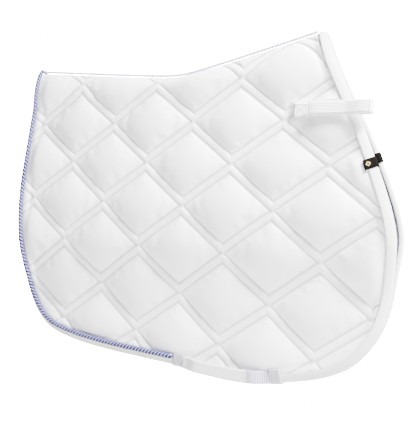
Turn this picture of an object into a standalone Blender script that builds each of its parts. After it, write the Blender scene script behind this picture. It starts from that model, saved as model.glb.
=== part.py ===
"""Diamond-quilted saddle pad, folded over its spine.

Two padded panels hang from a spine strip. Each panel has an outer fabric, wadding and a lining, a
bound edge, rope piping along its rear edge, a girth loop on its hem, a woven badge on its front
edge, and a hook-and-loop billet strap.

Metres, +X towards the withers, +Z up. The origin is the underside of the spine at its lowest
point, where a rack rail carries the pad. The off panel hangs at -Y and the near panel at +Y.

Every sewn piece is drawn flat as (x, z) plus a height above the outer face, and then hung on the
curved panel. Inward distances are measured from the fabric's cut edge.
"""

import math

import bmesh
import bpy
import numpy as np
from mathutils import Matrix, Vector

# ---- clearances
GAP = 0.0003              # between pieces that touch
SEAM_GAP = 0.0005         # between a binding and the edge that it wraps
FOLD_GAP = 0.0005         # between a panel and the spine strip at the fold line

# ---- layers
FABRIC_THICKNESS = 0.0008
WADDING_THICKNESS = 0.0064
LINING_THICKNESS = 0.0008
EDGE_STACK = 0.0044       # the layers pressed together at the cut edge
EDGE_TAPER = 0.014        # how far in the layers reach their full thickness
STACK = FABRIC_THICKNESS + WADDING_THICKNESS + LINING_THICKNESS + 2.0 * GAP
MID_HEIGHT = -STACK / 2.0

# ---- pad outline
REAR_REACH = 0.338        # rearmost cut edge, behind the origin
FRONT_REACH = 0.360       # foremost cut edge, ahead of the origin
HEM_DROP = 0.485          # lowest cut edge, below the origin
REAR_BULGE_DROP = 0.185   # where the rear edge reaches furthest
FRONT_BULGE_DROP = 0.262  # where the front edge reaches furthest
HEM_LOW_X = 0.158         # where the hem is lowest

# ---- spine
SPINE_REAR_X = -0.315
SPINE_FRONT_X = 0.258
SEAM_RISE = 0.0009        # extra thickness at the seam on the ridge
SPINE_STACK = STACK + SEAM_RISE
REAR_SLOPE = 0.166        # climb of the ridge towards the rear
FRONT_SLOPE = 0.158       # climb of the ridge towards the withers
DIP_RADIUS = 0.030        # rounding of the ridge's low point
FOLD_Z = -0.012           # height of the straight lines that the panels fold on
SPINE_ROPE_RADIUS = 0.0018

# ---- half the space between the linings, and from it half the distance between the outer faces
RAIL_SPACE = 0.0074       # at the fold, where the rail goes
BELLY_SPACE = 0.0204
HEM_SPACE = 0.0032
HALF_GAP_FOLD = RAIL_SPACE + STACK
HALF_GAP_BELLY = BELLY_SPACE + STACK
HALF_GAP_HEM = HEM_SPACE + STACK
BELLY_DROP = 0.220        # from the fold down to the widest place
CLOSE_START = 0.238       # from the fold down to where the panels start to close
CLOSE_LENGTH = 0.120

# ---- bindings and piping
BINDING_THICKNESS = 0.001
FRONT_BINDING_WIDTH = 0.012
REAR_BINDING_WIDTH_TOP = 0.004
REAR_BINDING_WIDTH_HEM = 0.009
ROPE_RADIUS = 0.0035
HINGE_STANDOFF = 2.0 * ROPE_RADIUS + 0.0002   # the fold axis lies just outside the rope piping

# ---- girth loop
GIRTH_REAR_X = -0.007
GIRTH_FRONT_X = 0.184
GIRTH_TAB_LENGTH = 0.019
GIRTH_TAB_LEG = 0.020
GIRTH_TAB_TUCK = 0.004    # how far a tab reaches round to the lining
WEBBING_WIDTH = 0.020
WEBBING_THICKNESS = 0.0016
GIRTH_OVERHANG = 0.0025   # how far the webbing hangs below the cut edge
GIRTH_BOW = 0.011         # height of the loop's middle above the outer face
GIRTH_RAMP = 0.026        # length of the slope from a tab to the bowed middle
ELASTIC_LENGTH = 0.035

# ---- badge
BADGE_LENGTH = 0.015
BADGE_LEG = 0.016
BADGE_THICKNESS = 0.0009
BADGE_Z = {-1: -0.163, 1: -0.150}

# ---- billet strap
ANCHOR_X = 0.222
ANCHOR_Z = -0.076
ANCHOR_SIZE = 0.022
ANCHOR_LIFT = 2.0 * GAP
STRAP_SLANT = {-1: 0.0, 1: math.radians(-35.0)}
STRAP_REACH = 0.109       # from the middle of the anchor to the middle of the nose
STRAP_LIFT = 0.008        # height of the strap's base above the outer face
NOSE_RADIUS = 0.005
PATCH_LENGTH = 0.034
PATCH_START = 0.028       # from the middle of the anchor
PATCH_THICKNESS = 0.0012
PATCH_WIDTH = 0.017
TAIL_START = 0.016        # the flap's free end, from the middle of the anchor

SIDES = {"off": -1, "near": 1}
OUTLINE_STEPS = 3         # points per span of the outline
ROPE_SIDES = 8

# ---- surface finishes: colour, roughness, metallic
FINISHES = {
    "outer_fabric": ((0.86, 0.86, 0.88), 0.55, 0.0),
    "wadding": ((0.90, 0.90, 0.88), 0.95, 0.0),
    "lining": ((0.84, 0.84, 0.84), 0.80, 0.0),
    "binding": ((0.86, 0.85, 0.83), 0.65, 0.0),
    "rope": ((0.30, 0.27, 0.52), 0.70, 0.0),
    "webbing": ((0.84, 0.84, 0.86), 0.60, 0.0),
    "elastic": ((0.80, 0.80, 0.83), 0.75, 0.0),
    "badge": ((0.045, 0.030, 0.026), 0.70, 0.0),
    "loop_tape": ((0.80, 0.80, 0.80), 0.95, 0.0),
    "hook_tape": ((0.78, 0.78, 0.78), 0.60, 0.0),
}


# ---------------------------------------------------------------- scene and materials

def clear_scene():
    """Remove every object of the scene."""
    for obj in list(bpy.data.objects):
        bpy.data.objects.remove(obj, do_unlink=True)


def finish(name):
    """The Principled material of one surface finish."""
    material = bpy.data.materials.get(name)
    if material:
        return material
    colour, roughness, metallic = FINISHES[name]
    material = bpy.data.materials.new(name)
    material.use_nodes = True
    shader = material.node_tree.nodes["Principled BSDF"]
    shader.inputs["Base Color"].default_value = (*colour, 1.0)
    shader.inputs["Roughness"].default_value = roughness
    shader.inputs["Metallic"].default_value = metallic
    return material


def add_object(name, bm, finish_name):
    """Turn a closed bmesh into a named object with its finish."""
    bmesh.ops.triangulate(bm, faces=bm.faces[:])
    bmesh.ops.recalc_face_normals(bm, faces=bm.faces[:])
    if bm.calc_volume(signed=True) < 0.0:
        bmesh.ops.reverse_faces(bm, faces=bm.faces[:])
    mesh = bpy.data.meshes.new(name)
    bm.to_mesh(mesh)
    bm.free()
    if finish_name == "rope":
        mesh.shade_smooth()
    obj = bpy.data.objects.new(name, mesh)
    obj.data.materials.append(finish(finish_name))
    bpy.context.scene.collection.objects.link(obj)
    return obj


# ---------------------------------------------------------------- curves of the pad

def ease(value):
    """Smooth 0 to 1 ramp."""
    value = min(max(value, 0.0), 1.0)
    return 0.5 - 0.5 * math.cos(math.pi * value)


def ridge(x):
    """Height of the spine's top at x."""
    slope = FRONT_SLOPE if x > 0.0 else REAR_SLOPE
    return SPINE_STACK + slope * (math.hypot(x, DIP_RADIUS) - DIP_RADIUS)


def smooth_half_gap(drop):
    """Distance from the middle plane to a panel's outer face, drop metres below the fold."""
    opened = (HALF_GAP_BELLY - HALF_GAP_FOLD) * ease(drop / BELLY_DROP)
    closed = (HALF_GAP_BELLY - HALF_GAP_HEM) * ease((drop - CLOSE_START) / CLOSE_LENGTH)
    return HALF_GAP_FOLD + opened - closed


def knot_drops():
    """Drops below the fold where the panel's cross-section bends."""
    opening = [BELLY_DROP * step / 6.0 for step in range(7)]
    closing = [CLOSE_START + CLOSE_LENGTH * step / 7.0 for step in range(8)]
    return opening + closing + [HEM_DROP + FOLD_Z + 0.05]


KNOT_DROPS = knot_drops()
KNOT_GAPS = [smooth_half_gap(drop) for drop in KNOT_DROPS]
KNOT_LEVELS = [FOLD_Z - drop for drop in KNOT_DROPS]


def half_gap(z):
    """Outer face of a panel as straight facets between the knots."""
    return float(np.interp(FOLD_Z - z, KNOT_DROPS, KNOT_GAPS))


def facet_slope(z):
    """Mean slope of the facets beside height z, steady along each facet."""
    slopes = [(half_gap(z + shift) - half_gap(z + shift - 1e-5)) / 1e-5 for shift in (0.0, 1e-5)]
    return sum(slopes) / 2.0


def on_panel(side, x, z, height):
    """Point on a hanging panel, height metres above its outer face."""
    slope = facet_slope(z)
    length = math.hypot(1.0, slope)
    y = half_gap(z) + height / length
    return Vector((x, side * y, z - height * slope / length))


def on_roof(side, x, fall, height):
    """Point on the spine strip: fall is 0 on the ridge and 1 at the fold line."""
    fold = on_panel(side, x, FOLD_Z, height)
    top = ridge(x) + height * SPINE_STACK / STACK
    width = math.sqrt(max(0.0, 1.0 - (1.0 - fall) ** 2))
    return Vector((x, fold.y * width, fold.z + (1.0 - fall) * (top - fold.z)))


def half_stack(inward):
    """Half the thickness of the layers, inward metres from the cut edge."""
    grown = min(max(inward / EDGE_TAPER, 0.0), 1.0)
    return EDGE_STACK / 2.0 + grown * (STACK - EDGE_STACK) / 2.0


def control_points():
    """The cut edge's shape, down the rear, along the hem and up the front."""
    hem = -HEM_DROP
    return [
        (SPINE_REAR_X - 0.002, FOLD_Z),
        (-REAR_REACH + 0.010, -REAR_BULGE_DROP + 0.105),
        (-REAR_REACH, -REAR_BULGE_DROP),
        (-REAR_REACH + 0.003, (hem - REAR_BULGE_DROP) / 2.0 + 0.060),
        (-REAR_REACH + 0.020, hem + 0.122),
        (-REAR_REACH + 0.057, hem + 0.072),
        (-REAR_REACH + 0.117, hem + 0.047),
        ((HEM_LOW_X - REAR_REACH) / 2.0 + 0.085, hem + 0.015),
        (HEM_LOW_X, hem),
        (FRONT_REACH - 0.084, hem + 0.024),
        (FRONT_REACH - 0.040, hem + 0.064),
        (FRONT_REACH - 0.018, hem + 0.106),
        (FRONT_REACH - 0.006, hem + 0.161),
        (FRONT_REACH, -FRONT_BULGE_DROP),
        (FRONT_REACH - 0.031, -FRONT_BULGE_DROP + 0.115),
        (SPINE_FRONT_X + 0.018, FOLD_Z),
    ]


def smooth_curve(points, steps):
    """Centripetal spline through the points."""
    knots = [np.array(point) for point in points]
    knots = [2.0 * knots[0] - knots[1]] + knots + [2.0 * knots[-1] - knots[-2]]
    curve = []
    for first, second, third, fourth in zip(knots, knots[1:], knots[2:], knots[3:]):
        spans = (second - first, third - second, fourth - third)
        gaps = [math.sqrt(np.linalg.norm(span)) for span in spans]
        start_pull = (second - first) / gaps[0] - (third - first) / (gaps[0] + gaps[1])
        start_pull = (start_pull + (third - second) / gaps[1]) * gaps[1]
        end_pull = (third - second) / gaps[1] - (fourth - second) / (gaps[1] + gaps[2])
        end_pull = (end_pull + (fourth - third) / gaps[2]) * gaps[1]
        for step in range(steps):
            t = step / steps
            place = (2 * t ** 3 - 3 * t ** 2 + 1) * second + (t ** 3 - 2 * t ** 2 + t) * start_pull
            curve.append(place + (3 * t ** 2 - 2 * t ** 3) * third + (t ** 3 - t ** 2) * end_pull)
    curve.append(knots[-2])
    return curve


def split_at_levels(curve):
    """Add the places where the curve crosses a knot level."""
    result = [curve[0]]
    for start, end in zip(curve, curve[1:]):
        crossings = []
        for level in KNOT_LEVELS:
            if min(start[1], end[1]) + 1e-6 < level < max(start[1], end[1]) - 1e-6:
                crossings.append((level - start[1]) / (end[1] - start[1]))
        for share in sorted(crossings):
            if 0.05 < share < 0.95:
                result.append(start + (end - start) * share)
        result.append(end)
    return result


class CutEdge:
    """The cut edge of a panel as a polyline with inward directions and lengths along it."""

    def __init__(self):
        self.points = split_at_levels(smooth_curve(control_points(), OUTLINE_STEPS))
        steps = [np.linalg.norm(b - a) for a, b in zip(self.points, self.points[1:])]
        self.lengths = np.concatenate([[0.0], np.cumsum(steps)])
        self.total = float(self.lengths[-1])

    def place(self, length):
        """Point and inward direction at a length along the edge."""
        length = min(max(length, 0.0), self.total)
        xs = [point[0] for point in self.points]
        zs = [point[1] for point in self.points]
        place = np.array([np.interp(length, self.lengths, xs), np.interp(length, self.lengths, zs)])
        reach = 0.004
        ahead = min(length + reach, self.total)
        behind = max(length - reach, 0.0)
        along = np.array([np.interp(ahead, self.lengths, xs) - np.interp(behind, self.lengths, xs),
                          np.interp(ahead, self.lengths, zs) - np.interp(behind, self.lengths, zs)])
        along /= np.linalg.norm(along)
        inward = np.array([-along[1], along[0]])
        if length <= 0.0:
            inward = np.array([1.0, 0.0])
        if length >= self.total:
            inward = np.array([-1.0, 0.0])
        return place, inward

    def between(self, start, end):
        """Lengths of the stations from start to end, both included."""
        middle = [length for length in self.lengths if start + 0.002 < length < end - 0.002]
        return [start] + middle + [end]

    def length_at(self, x=None, z=None, front=False):
        """Length along the edge where the hem passes x, or where one side passes z."""
        for index in range(len(self.points) - 1):
            first, second = self.points[index], self.points[index + 1]
            on_front = first[0] > 0.0
            if x is not None and first[1] < -HEM_DROP / 2.0 and first[0] <= x < second[0]:
                share = (x - first[0]) / (second[0] - first[0])
                return float(self.lengths[index] + share * np.linalg.norm(second - first))
            low, high = sorted((first[1], second[1]))
            if z is not None and on_front == front and low <= z <= high:
                share = (z - first[1]) / (second[1] - first[1])
                return float(self.lengths[index] + share * np.linalg.norm(second - first))
        raise ValueError("the cut edge does not pass there")

    def distance(self, x, z):
        """Distance from a point of the panel to the cut edge."""
        target = np.array([x, z])
        best = 1.0
        for first, second in zip(self.points, self.points[1:]):
            span = second - first
            share = min(max(float(np.dot(target - first, span) / np.dot(span, span)), 0.0), 1.0)
            best = min(best, float(np.linalg.norm(target - first - share * span)))
        return best


EDGE = CutEdge()


# ---------------------------------------------------------------- building tools

def sweep(name, rings, finish_name):
    """Closed solid through a row of rings, each extruded from the one before."""
    bm = bmesh.new()
    face = bm.faces.new([bm.verts.new(point) for point in rings[0]])
    for index, ring in enumerate(rings[1:]):
        covered = face
        grown = bmesh.ops.extrude_face_region(bm, geom=[face])["geom"]
        face = next(item for item in grown if isinstance(item, bmesh.types.BMFace))
        if index > 0:
            bmesh.ops.delete(bm, geom=[covered], context="FACES_ONLY")
        for vert, point in zip(face.verts, ring):
            vert.co = point
    return add_object(name, bm, finish_name)


def panel_slab(name, side, top, bottom, finish_name):
    """One layer of a panel; top and bottom give its heights at an inward distance."""
    bm = bmesh.new()
    corners = [bm.verts.new((point[0], 0.0, point[1])) for point in EDGE.points]
    corners[0].co.z -= FOLD_GAP
    corners[-1].co.z -= FOLD_GAP
    sheet = bm.faces.new(corners)
    sheet.normal_update()
    bmesh.ops.inset_region(bm, faces=[sheet], thickness=EDGE_TAPER, use_boundary=True, use_even_offset=True)
    for level in KNOT_LEVELS[1:-1]:
        bmesh.ops.bisect_plane(bm, geom=bm.verts[:] + bm.edges[:] + bm.faces[:], dist=1e-6,
                               plane_co=(0.0, 0.0, level), plane_no=(0.0, 0.0, 1.0))
    lower = set(bm.verts)
    bmesh.ops.extrude_face_region(bm, geom=bm.faces[:])
    for vert in bm.verts:
        x, z = vert.co.x, vert.co.z
        inward = EDGE.distance(x, z)
        height = bottom(inward) if vert in lower else top(inward)
        vert.co = on_panel(side, x, z, height)
    return add_object(name, bm, finish_name)


LAYERS = {
    "outer_fabric": (lambda inward: MID_HEIGHT + half_stack(inward),
                     lambda inward: MID_HEIGHT + half_stack(inward) - FABRIC_THICKNESS),
    "wadding": (lambda inward: MID_HEIGHT + half_stack(inward) - FABRIC_THICKNESS - GAP,
                lambda inward: MID_HEIGHT - half_stack(inward) + LINING_THICKNESS + GAP),
    "lining": (lambda inward: MID_HEIGHT - half_stack(inward) + LINING_THICKNESS,
               lambda inward: MID_HEIGHT - half_stack(inward)),
}


def wrap_ring(leg, inner_leg, lift, thickness):
    """Section of a strip folded round the cut edge, as (inward, height) pairs."""
    near = lift + SEAM_GAP
    far = near + thickness
    half = half_stack(0.0)

    def bends(reach):
        return [reach] if reach <= EDGE_TAPER else [reach, EDGE_TAPER]

    ring = [(bend, half_stack(bend) + far) for bend in bends(leg)] + [(-far, half + far), (-far, -half - far)]
    ring += [(bend, -half_stack(bend) - far) for bend in reversed(bends(inner_leg))]
    ring += [(bend, -half_stack(bend) - near) for bend in bends(inner_leg)] + [(-near, -half - near)]
    ring += [(-near, half + near)] + [(bend, half_stack(bend) + near) for bend in reversed(bends(leg))]
    return [(inward, MID_HEIGHT + height) for inward, height in ring]


def edge_point(side, length, inward, height):
    """Point beside the cut edge, kept below the fold gap at the two ends."""
    place, direction = EDGE.place(length)
    spot = place + direction * inward
    if length <= 0.0 or length >= EDGE.total:
        spot[1] -= FOLD_GAP
    return on_panel(side, spot[0], spot[1], height)


def edge_wrap(name, side, start, end, leg, lift, thickness, finish_name, inner_leg=None):
    """Strip folded round the cut edge; leg gives its width at a length along the edge."""
    rings = []
    for length in EDGE.between(start, end):
        ring = wrap_ring(leg(length), inner_leg or leg(length), lift, thickness)
        rings.append([edge_point(side, length, inward, height) for inward, height in ring])
    return sweep(name, rings, finish_name)


def circle(radius, sides):
    """Points of a circle as (across, up) pairs."""
    turns = [2.0 * math.pi * index / sides for index in range(sides)]
    return [(radius * math.cos(turn), radius * math.sin(turn)) for turn in turns]


def strip_rings(path, width, thickness, place):
    """Rings of a flat strip along a path of (along, height) pairs."""
    rings = []
    for index, spot in enumerate(path):
        before = np.array(path[max(index - 1, 0)])
        after = np.array(path[min(index + 1, len(path) - 1)])
        along = (after - before) / np.linalg.norm(after - before)
        out = np.array([-along[1], along[0]])
        corners = [(-1, -1), (1, -1), (1, 1), (-1, 1)]
        ring = []
        for across, up in corners:
            shifted = np.array(spot) + out * up * thickness / 2.0
            ring.append(place(shifted[0], across * width / 2.0, shifted[1]))
        rings.append(ring)
    return rings


# ---------------------------------------------------------------- the panels

def build_layers(label, side):
    """Outer fabric, wadding and lining of one panel."""
    for layer, (top, bottom) in LAYERS.items():
        panel_slab(f"{label}_{layer}", side, top, bottom, layer)


def rear_leg(length):
    """Width of the rear binding, which grows from the fold to the hem."""
    share = min(length / EDGE.length_at(x=-REAR_REACH + 0.117), 1.0)
    return REAR_BINDING_WIDTH_TOP + share * (REAR_BINDING_WIDTH_HEM - REAR_BINDING_WIDTH_TOP)


def build_bindings(label, side):
    """Bound edge: the rear strip ends under the girth loop, where the front one starts."""
    meeting = EDGE.length_at(x=(GIRTH_REAR_X + GIRTH_FRONT_X) / 2.0)
    edge_wrap(f"{label}_rear_binding", side, 0.0, meeting - GAP, rear_leg, 0.0, BINDING_THICKNESS, "binding")
    edge_wrap(f"{label}_front_binding", side, meeting + GAP, EDGE.total,
              lambda length: FRONT_BINDING_WIDTH, 0.0, BINDING_THICKNESS, "binding")


def rope_centre(leg):
    """Inward distance and height of a rope lying against a binding's inner edge."""
    inward = leg + GAP + ROPE_RADIUS
    height = MID_HEIGHT + half_stack(inward + ROPE_RADIUS) + GAP + ROPE_RADIUS
    return inward, height


def build_rope(label, side):
    """Rope piping along the rear edge and the hem, up to the girth loop."""
    end = EDGE.length_at(x=GIRTH_REAR_X) - 0.001
    rings = []
    for length in EDGE.between(0.0, end):
        inward, height = rope_centre(rear_leg(length))
        rings.append([edge_point(side, length, inward + across, height + up)
                      for across, up in circle(ROPE_RADIUS, ROPE_SIDES)])
    sweep(f"{label}_rope_piping", rings, "rope")


def build_badge(label, side):
    """Woven badge folded over the front binding."""
    middle = EDGE.length_at(z=BADGE_Z[side], front=True)
    lift = BINDING_THICKNESS + GAP
    edge_wrap(f"{label}_badge", side, middle - BADGE_LENGTH / 2.0, middle + BADGE_LENGTH / 2.0,
              lambda length: BADGE_LEG, lift, BADGE_THICKNESS, "badge")


# ---------------------------------------------------------------- the girth loops

def girth_point(side, x, across, height):
    """Point of the girth loop, which follows the hem."""
    place, inward = EDGE.place(EDGE.length_at(x=x))
    spot = place + inward * (WEBBING_WIDTH / 2.0 - GIRTH_OVERHANG + across)
    return on_panel(side, spot[0], spot[1], height)


def girth_paths():
    """Routes of the webbing and of the elastic as (x, height) pairs."""
    start = GIRTH_REAR_X + GIRTH_TAB_LENGTH + GAP
    end = GIRTH_FRONT_X - GIRTH_TAB_LENGTH - GAP
    sewn = MID_HEIGHT + half_stack(FRONT_BINDING_WIDTH) + SEAM_GAP + BINDING_THICKNESS + GAP
    sewn += WEBBING_THICKNESS / 2.0 + 0.0004
    join = end - ELASTIC_LENGTH
    crest = end - GIRTH_RAMP
    webbing = [(start, sewn), (start + 0.003, sewn), (start + GIRTH_RAMP, GIRTH_BOW), (join - GAP, GIRTH_BOW)]
    elastic = [(join, GIRTH_BOW), (crest, GIRTH_BOW), (end - 0.003, sewn), (end, sewn)]
    return webbing, elastic


def build_girth_loop(label, side):
    """Webbing and elastic loop with its two sewn tabs."""
    lift = BINDING_THICKNESS + GAP
    rear = EDGE.length_at(x=GIRTH_REAR_X)
    rear_end = EDGE.length_at(x=GIRTH_REAR_X + GIRTH_TAB_LENGTH)
    front = EDGE.length_at(x=GIRTH_FRONT_X - GIRTH_TAB_LENGTH)
    front_end = EDGE.length_at(x=GIRTH_FRONT_X)
    edge_wrap(f"{label}_girth_rear_tab", side, rear, rear_end,
              lambda length: GIRTH_TAB_LEG, lift, WEBBING_THICKNESS, "webbing", GIRTH_TAB_TUCK)
    edge_wrap(f"{label}_girth_front_tab", side, front, front_end,
              lambda length: GIRTH_TAB_LEG, lift, WEBBING_THICKNESS, "webbing", GIRTH_TAB_TUCK)

    def place(x, across, height):
        return girth_point(side, x, across, height)

    webbing, elastic = girth_paths()
    sweep(f"{label}_girth_webbing", strip_rings(webbing, WEBBING_WIDTH, WEBBING_THICKNESS, place), "webbing")
    sweep(f"{label}_girth_elastic", strip_rings(elastic, WEBBING_WIDTH, WEBBING_THICKNESS, place), "elastic")


# ---------------------------------------------------------------- the billet straps

def strap_frame(side):
    """Where the strap is sewn on, and its along, across and outward directions."""
    origin = on_panel(side, ANCHOR_X, ANCHOR_Z, 0.0)
    outward = (on_panel(side, ANCHOR_X, ANCHOR_Z, 1.0) - origin).normalized()
    forward = Vector((1.0, 0.0, 0.0))
    upward = Vector((0.0, -outward.z * side, abs(outward.y)))
    slant = STRAP_SLANT[side]
    along = math.cos(slant) * forward + math.sin(slant) * upward
    across = math.cos(slant) * upward - math.sin(slant) * forward
    return origin, along, across, outward


def strap_placer(side):
    """Function that places (along, across, height) on the strap of one side."""
    origin, along, across, outward = strap_frame(side)

    def place(distance, sideways, height):
        return origin + along * distance + across * sideways + outward * height

    return place


def base_path():
    """Route of the strap's base, ending round the nose."""
    flat = GAP + WEBBING_THICKNESS / 2.0
    start = ANCHOR_SIZE / 2.0 + GAP
    path = [(start, flat + 0.0003), (start + 0.008, 0.30 * STRAP_LIFT), (start + 0.016, STRAP_LIFT)]
    path.append((STRAP_REACH, STRAP_LIFT))
    for step in range(1, 6):
        turn = math.pi * step / 5.0
        path.append((STRAP_REACH + NOSE_RADIUS * math.sin(turn),
                     STRAP_LIFT + NOSE_RADIUS * (1.0 - math.cos(turn))))
    return path


def flap_height():
    """Height of the flap where its hook tape lies on the base's loop tape."""
    return STRAP_LIFT + WEBBING_THICKNESS + 2.0 * PATCH_THICKNESS + 3.0 * GAP


def flap_path():
    """Route of the flap, from the nose back to its free end."""
    top = STRAP_LIFT + 2.0 * NOSE_RADIUS
    closed = flap_height()
    patch_end = PATCH_START + PATCH_LENGTH
    return [(STRAP_REACH - GAP, top), (STRAP_REACH - 0.014, top), (patch_end + 0.004, closed),
            (PATCH_START - 0.002, closed), (TAIL_START, closed - 0.0015)]


def block(name, place, start, end, width, low, high, finish_name):
    """Flat block between two distances along the strap."""
    rings = []
    for distance in (start, end):
        rings.append([place(distance, -width / 2.0, low), place(distance, width / 2.0, low),
                      place(distance, width / 2.0, high), place(distance, -width / 2.0, high)])
    sweep(name, rings, finish_name)


def build_strap(label, side):
    """Sewn anchor, base with loop tape, and flap with hook tape."""
    place = strap_placer(side)
    half = ANCHOR_SIZE / 2.0
    block(f"{label}_strap_anchor", place, -half, half, ANCHOR_SIZE,
          ANCHOR_LIFT, ANCHOR_LIFT + WEBBING_THICKNESS, "webbing")
    sweep(f"{label}_strap_base", strip_rings(base_path(), WEBBING_WIDTH, WEBBING_THICKNESS, place), "webbing")
    sweep(f"{label}_strap_flap", strip_rings(flap_path(), WEBBING_WIDTH, WEBBING_THICKNESS, place), "webbing")
    loop_low = STRAP_LIFT + WEBBING_THICKNESS / 2.0 + GAP
    hook_low = loop_low + PATCH_THICKNESS + GAP
    block(f"{label}_loop_tape", place, PATCH_START, PATCH_START + PATCH_LENGTH, PATCH_WIDTH,
          loop_low, loop_low + PATCH_THICKNESS, "loop_tape")
    block(f"{label}_hook_tape", place, PATCH_START, PATCH_START + PATCH_LENGTH, PATCH_WIDTH,
          hook_low, hook_low + PATCH_THICKNESS, "hook_tape")


# ---------------------------------------------------------------- the spine strip

FALLS = (1.0, 0.62, 0.32, 0.12, 0.03, 0.0)


def cross_section():
    """(side, fall) pairs from the off fold line over the ridge to the near one."""
    off = [(-1, fall) for fall in FALLS]
    near = [(1, fall) for fall in reversed(FALLS[:-1])]
    return off + near


def spine_edge_x(fall, front):
    """Where the spine strip ends at a fall, in front or at the rear."""
    fold_x = EDGE.points[-1][0] if front else EDGE.points[0][0]
    top_x = SPINE_FRONT_X if front else SPINE_REAR_X
    return top_x + fall * (fold_x - top_x)


def spine_stations():
    """Shares of the strip's length that carry a cross-section, closer together at the dip."""
    dip = -SPINE_REAR_X / (SPINE_FRONT_X - SPINE_REAR_X)
    spread = (-0.075, -0.035, 0.0, 0.035, 0.075)
    rear = [dip * share for share in (0.0, 0.3, 0.6)]
    front = [1.0 - (1.0 - dip) * share for share in (0.6, 0.3, 0.0)]
    return rear + [dip + shift for shift in spread] + front


def spine_x(fall, share):
    """x at a share of the strip between the taper zones of its two ends."""
    rear = spine_edge_x(fall, False) + EDGE_TAPER
    front = spine_edge_x(fall, True) - EDGE_TAPER
    return rear + (front - rear) * share


def spine_slab(name, top, bottom, finish_name):
    """One layer of the spine strip."""
    section = cross_section()
    shares = spine_stations()
    places = [(lambda fall: spine_edge_x(fall, False), 0.0)]
    places += [(lambda fall, share=share: spine_x(fall, share), EDGE_TAPER) for share in shares]
    places += [(lambda fall: spine_edge_x(fall, True), 0.0)]
    rings = []
    for x_at, inward in places:
        ring = [on_roof(side, x_at(fall), fall, top(inward)) for side, fall in section]
        ring += [on_roof(side, x_at(fall), fall, bottom(inward)) for side, fall in reversed(section)]
        rings.append(ring)
    return sweep(name, rings, finish_name)


def build_spine_layers():
    """Outer fabric, wadding and lining over the spine."""
    for layer, (top, bottom) in LAYERS.items():
        spine_slab(f"spine_{layer}", top, bottom, layer)


def build_spine_binding(name, front, width):
    """Binding over one end of the spine strip."""
    sign = -1.0 if front else 1.0
    rings = []
    for side, fall in cross_section():
        edge_x = spine_edge_x(fall, front)
        rings.append([on_roof(side, edge_x + sign * inward, fall, height)
                      for inward, height in wrap_ring(width, width, 0.0, BINDING_THICKNESS)])
    sweep(name, rings, "binding")


def build_spine_rope():
    """Rope piping along the seam on the ridge."""
    start = SPINE_REAR_X + REAR_BINDING_WIDTH_TOP + 2.0 * ROPE_RADIUS + 0.004
    end = SPINE_FRONT_X - FRONT_BINDING_WIDTH - 0.002
    middle = [spine_x(0.0, share) for share in spine_stations()]
    rings = []
    for x in [start] + [x for x in middle if start + 0.004 < x < end - 0.004] + [end]:
        centre = ridge(x) + SPINE_ROPE_RADIUS + SEAM_GAP
        rings.append([Vector((x, across, centre + up))
                      for across, up in circle(SPINE_ROPE_RADIUS, ROPE_SIDES)])
    sweep("spine_rope_piping", rings, "rope")


def build_rear_corner_rope(label, side):
    """Rope piping from the fold line up to the spine, at the rear."""
    inward, height = rope_centre(REAR_BINDING_WIDTH_TOP)
    rings = []
    for fall in (1.0, 0.80, 0.62, 0.46, 0.32, 0.20):
        x = spine_edge_x(fall, False)
        rings.append([on_roof(side, x + inward + across, fall, height + up)
                      for across, up in circle(ROPE_RADIUS, ROPE_SIDES)])
    sweep(f"{label}_corner_rope", rings, "rope")


def build_spine():
    """The strip that joins the panels and hangs on the rail."""
    build_spine_layers()
    build_spine_binding("spine_front_binding", True, FRONT_BINDING_WIDTH)
    build_spine_binding("spine_rear_binding", False, REAR_BINDING_WIDTH_TOP)
    build_spine_rope()
    for label, side in SIDES.items():
        build_rear_corner_rope(label, side)


# ---------------------------------------------------------------- the joint axes

PANEL_PIECES = ("outer_fabric", "wadding", "lining", "rear_binding", "front_binding", "rope_piping", "badge",
                "girth_rear_tab", "girth_front_tab", "girth_webbing", "girth_elastic", "strap_anchor")


def fold_axis_point(side):
    """Point on the axis that a panel folds up on."""
    return Vector((0.0, side * (HALF_GAP_FOLD + HINGE_STANDOFF), FOLD_Z))


def swing_axis_point(side):
    """Point on the axis where a strap's base leaves its anchor."""
    return strap_placer(side)(ANCHOR_SIZE / 2.0 + GAP / 2.0, 0.0, ANCHOR_LIFT + WEBBING_THICKNESS + GAP)


def peel_axis_point(side):
    """Point on the axis where a strap's flap leaves the nose."""
    outer_face = STRAP_LIFT + 2.0 * NOSE_RADIUS + WEBBING_THICKNESS / 2.0
    return strap_placer(side)(STRAP_REACH - GAP / 2.0, 0.0, outer_face + GAP)


def move_origins(label, pieces, point):
    """Put the origins of some pieces on the joint axis that they turn on."""
    for piece in pieces:
        obj = bpy.data.objects[f"{label}_{piece}"]
        obj.data.transform(Matrix.Translation(-point))
        obj.location = point


def main():
    clear_scene()
    build_spine()
    for label, side in SIDES.items():
        build_layers(label, side)
        build_bindings(label, side)
        build_rope(label, side)
        build_badge(label, side)
        build_girth_loop(label, side)
        build_strap(label, side)
        move_origins(label, PANEL_PIECES, fold_axis_point(side))
        move_origins(label, ("strap_base", "loop_tape"), swing_axis_point(side))
        move_origins(label, ("strap_flap", "hook_tape"), peel_axis_point(side))


main()
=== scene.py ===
"""Looks of the diamond-quilted saddle pad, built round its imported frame.

Every sewn piece is drawn flat, as a distance x along the pad and a level below or above its fold
line, with a height above the outer face. hang() then bends it over the spine and down the side.
"""

import math

import bmesh
import bpy
import numpy as np
from bpy.props import FloatProperty, FloatVectorProperty, PointerProperty
from mathutils import Matrix, Vector


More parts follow.
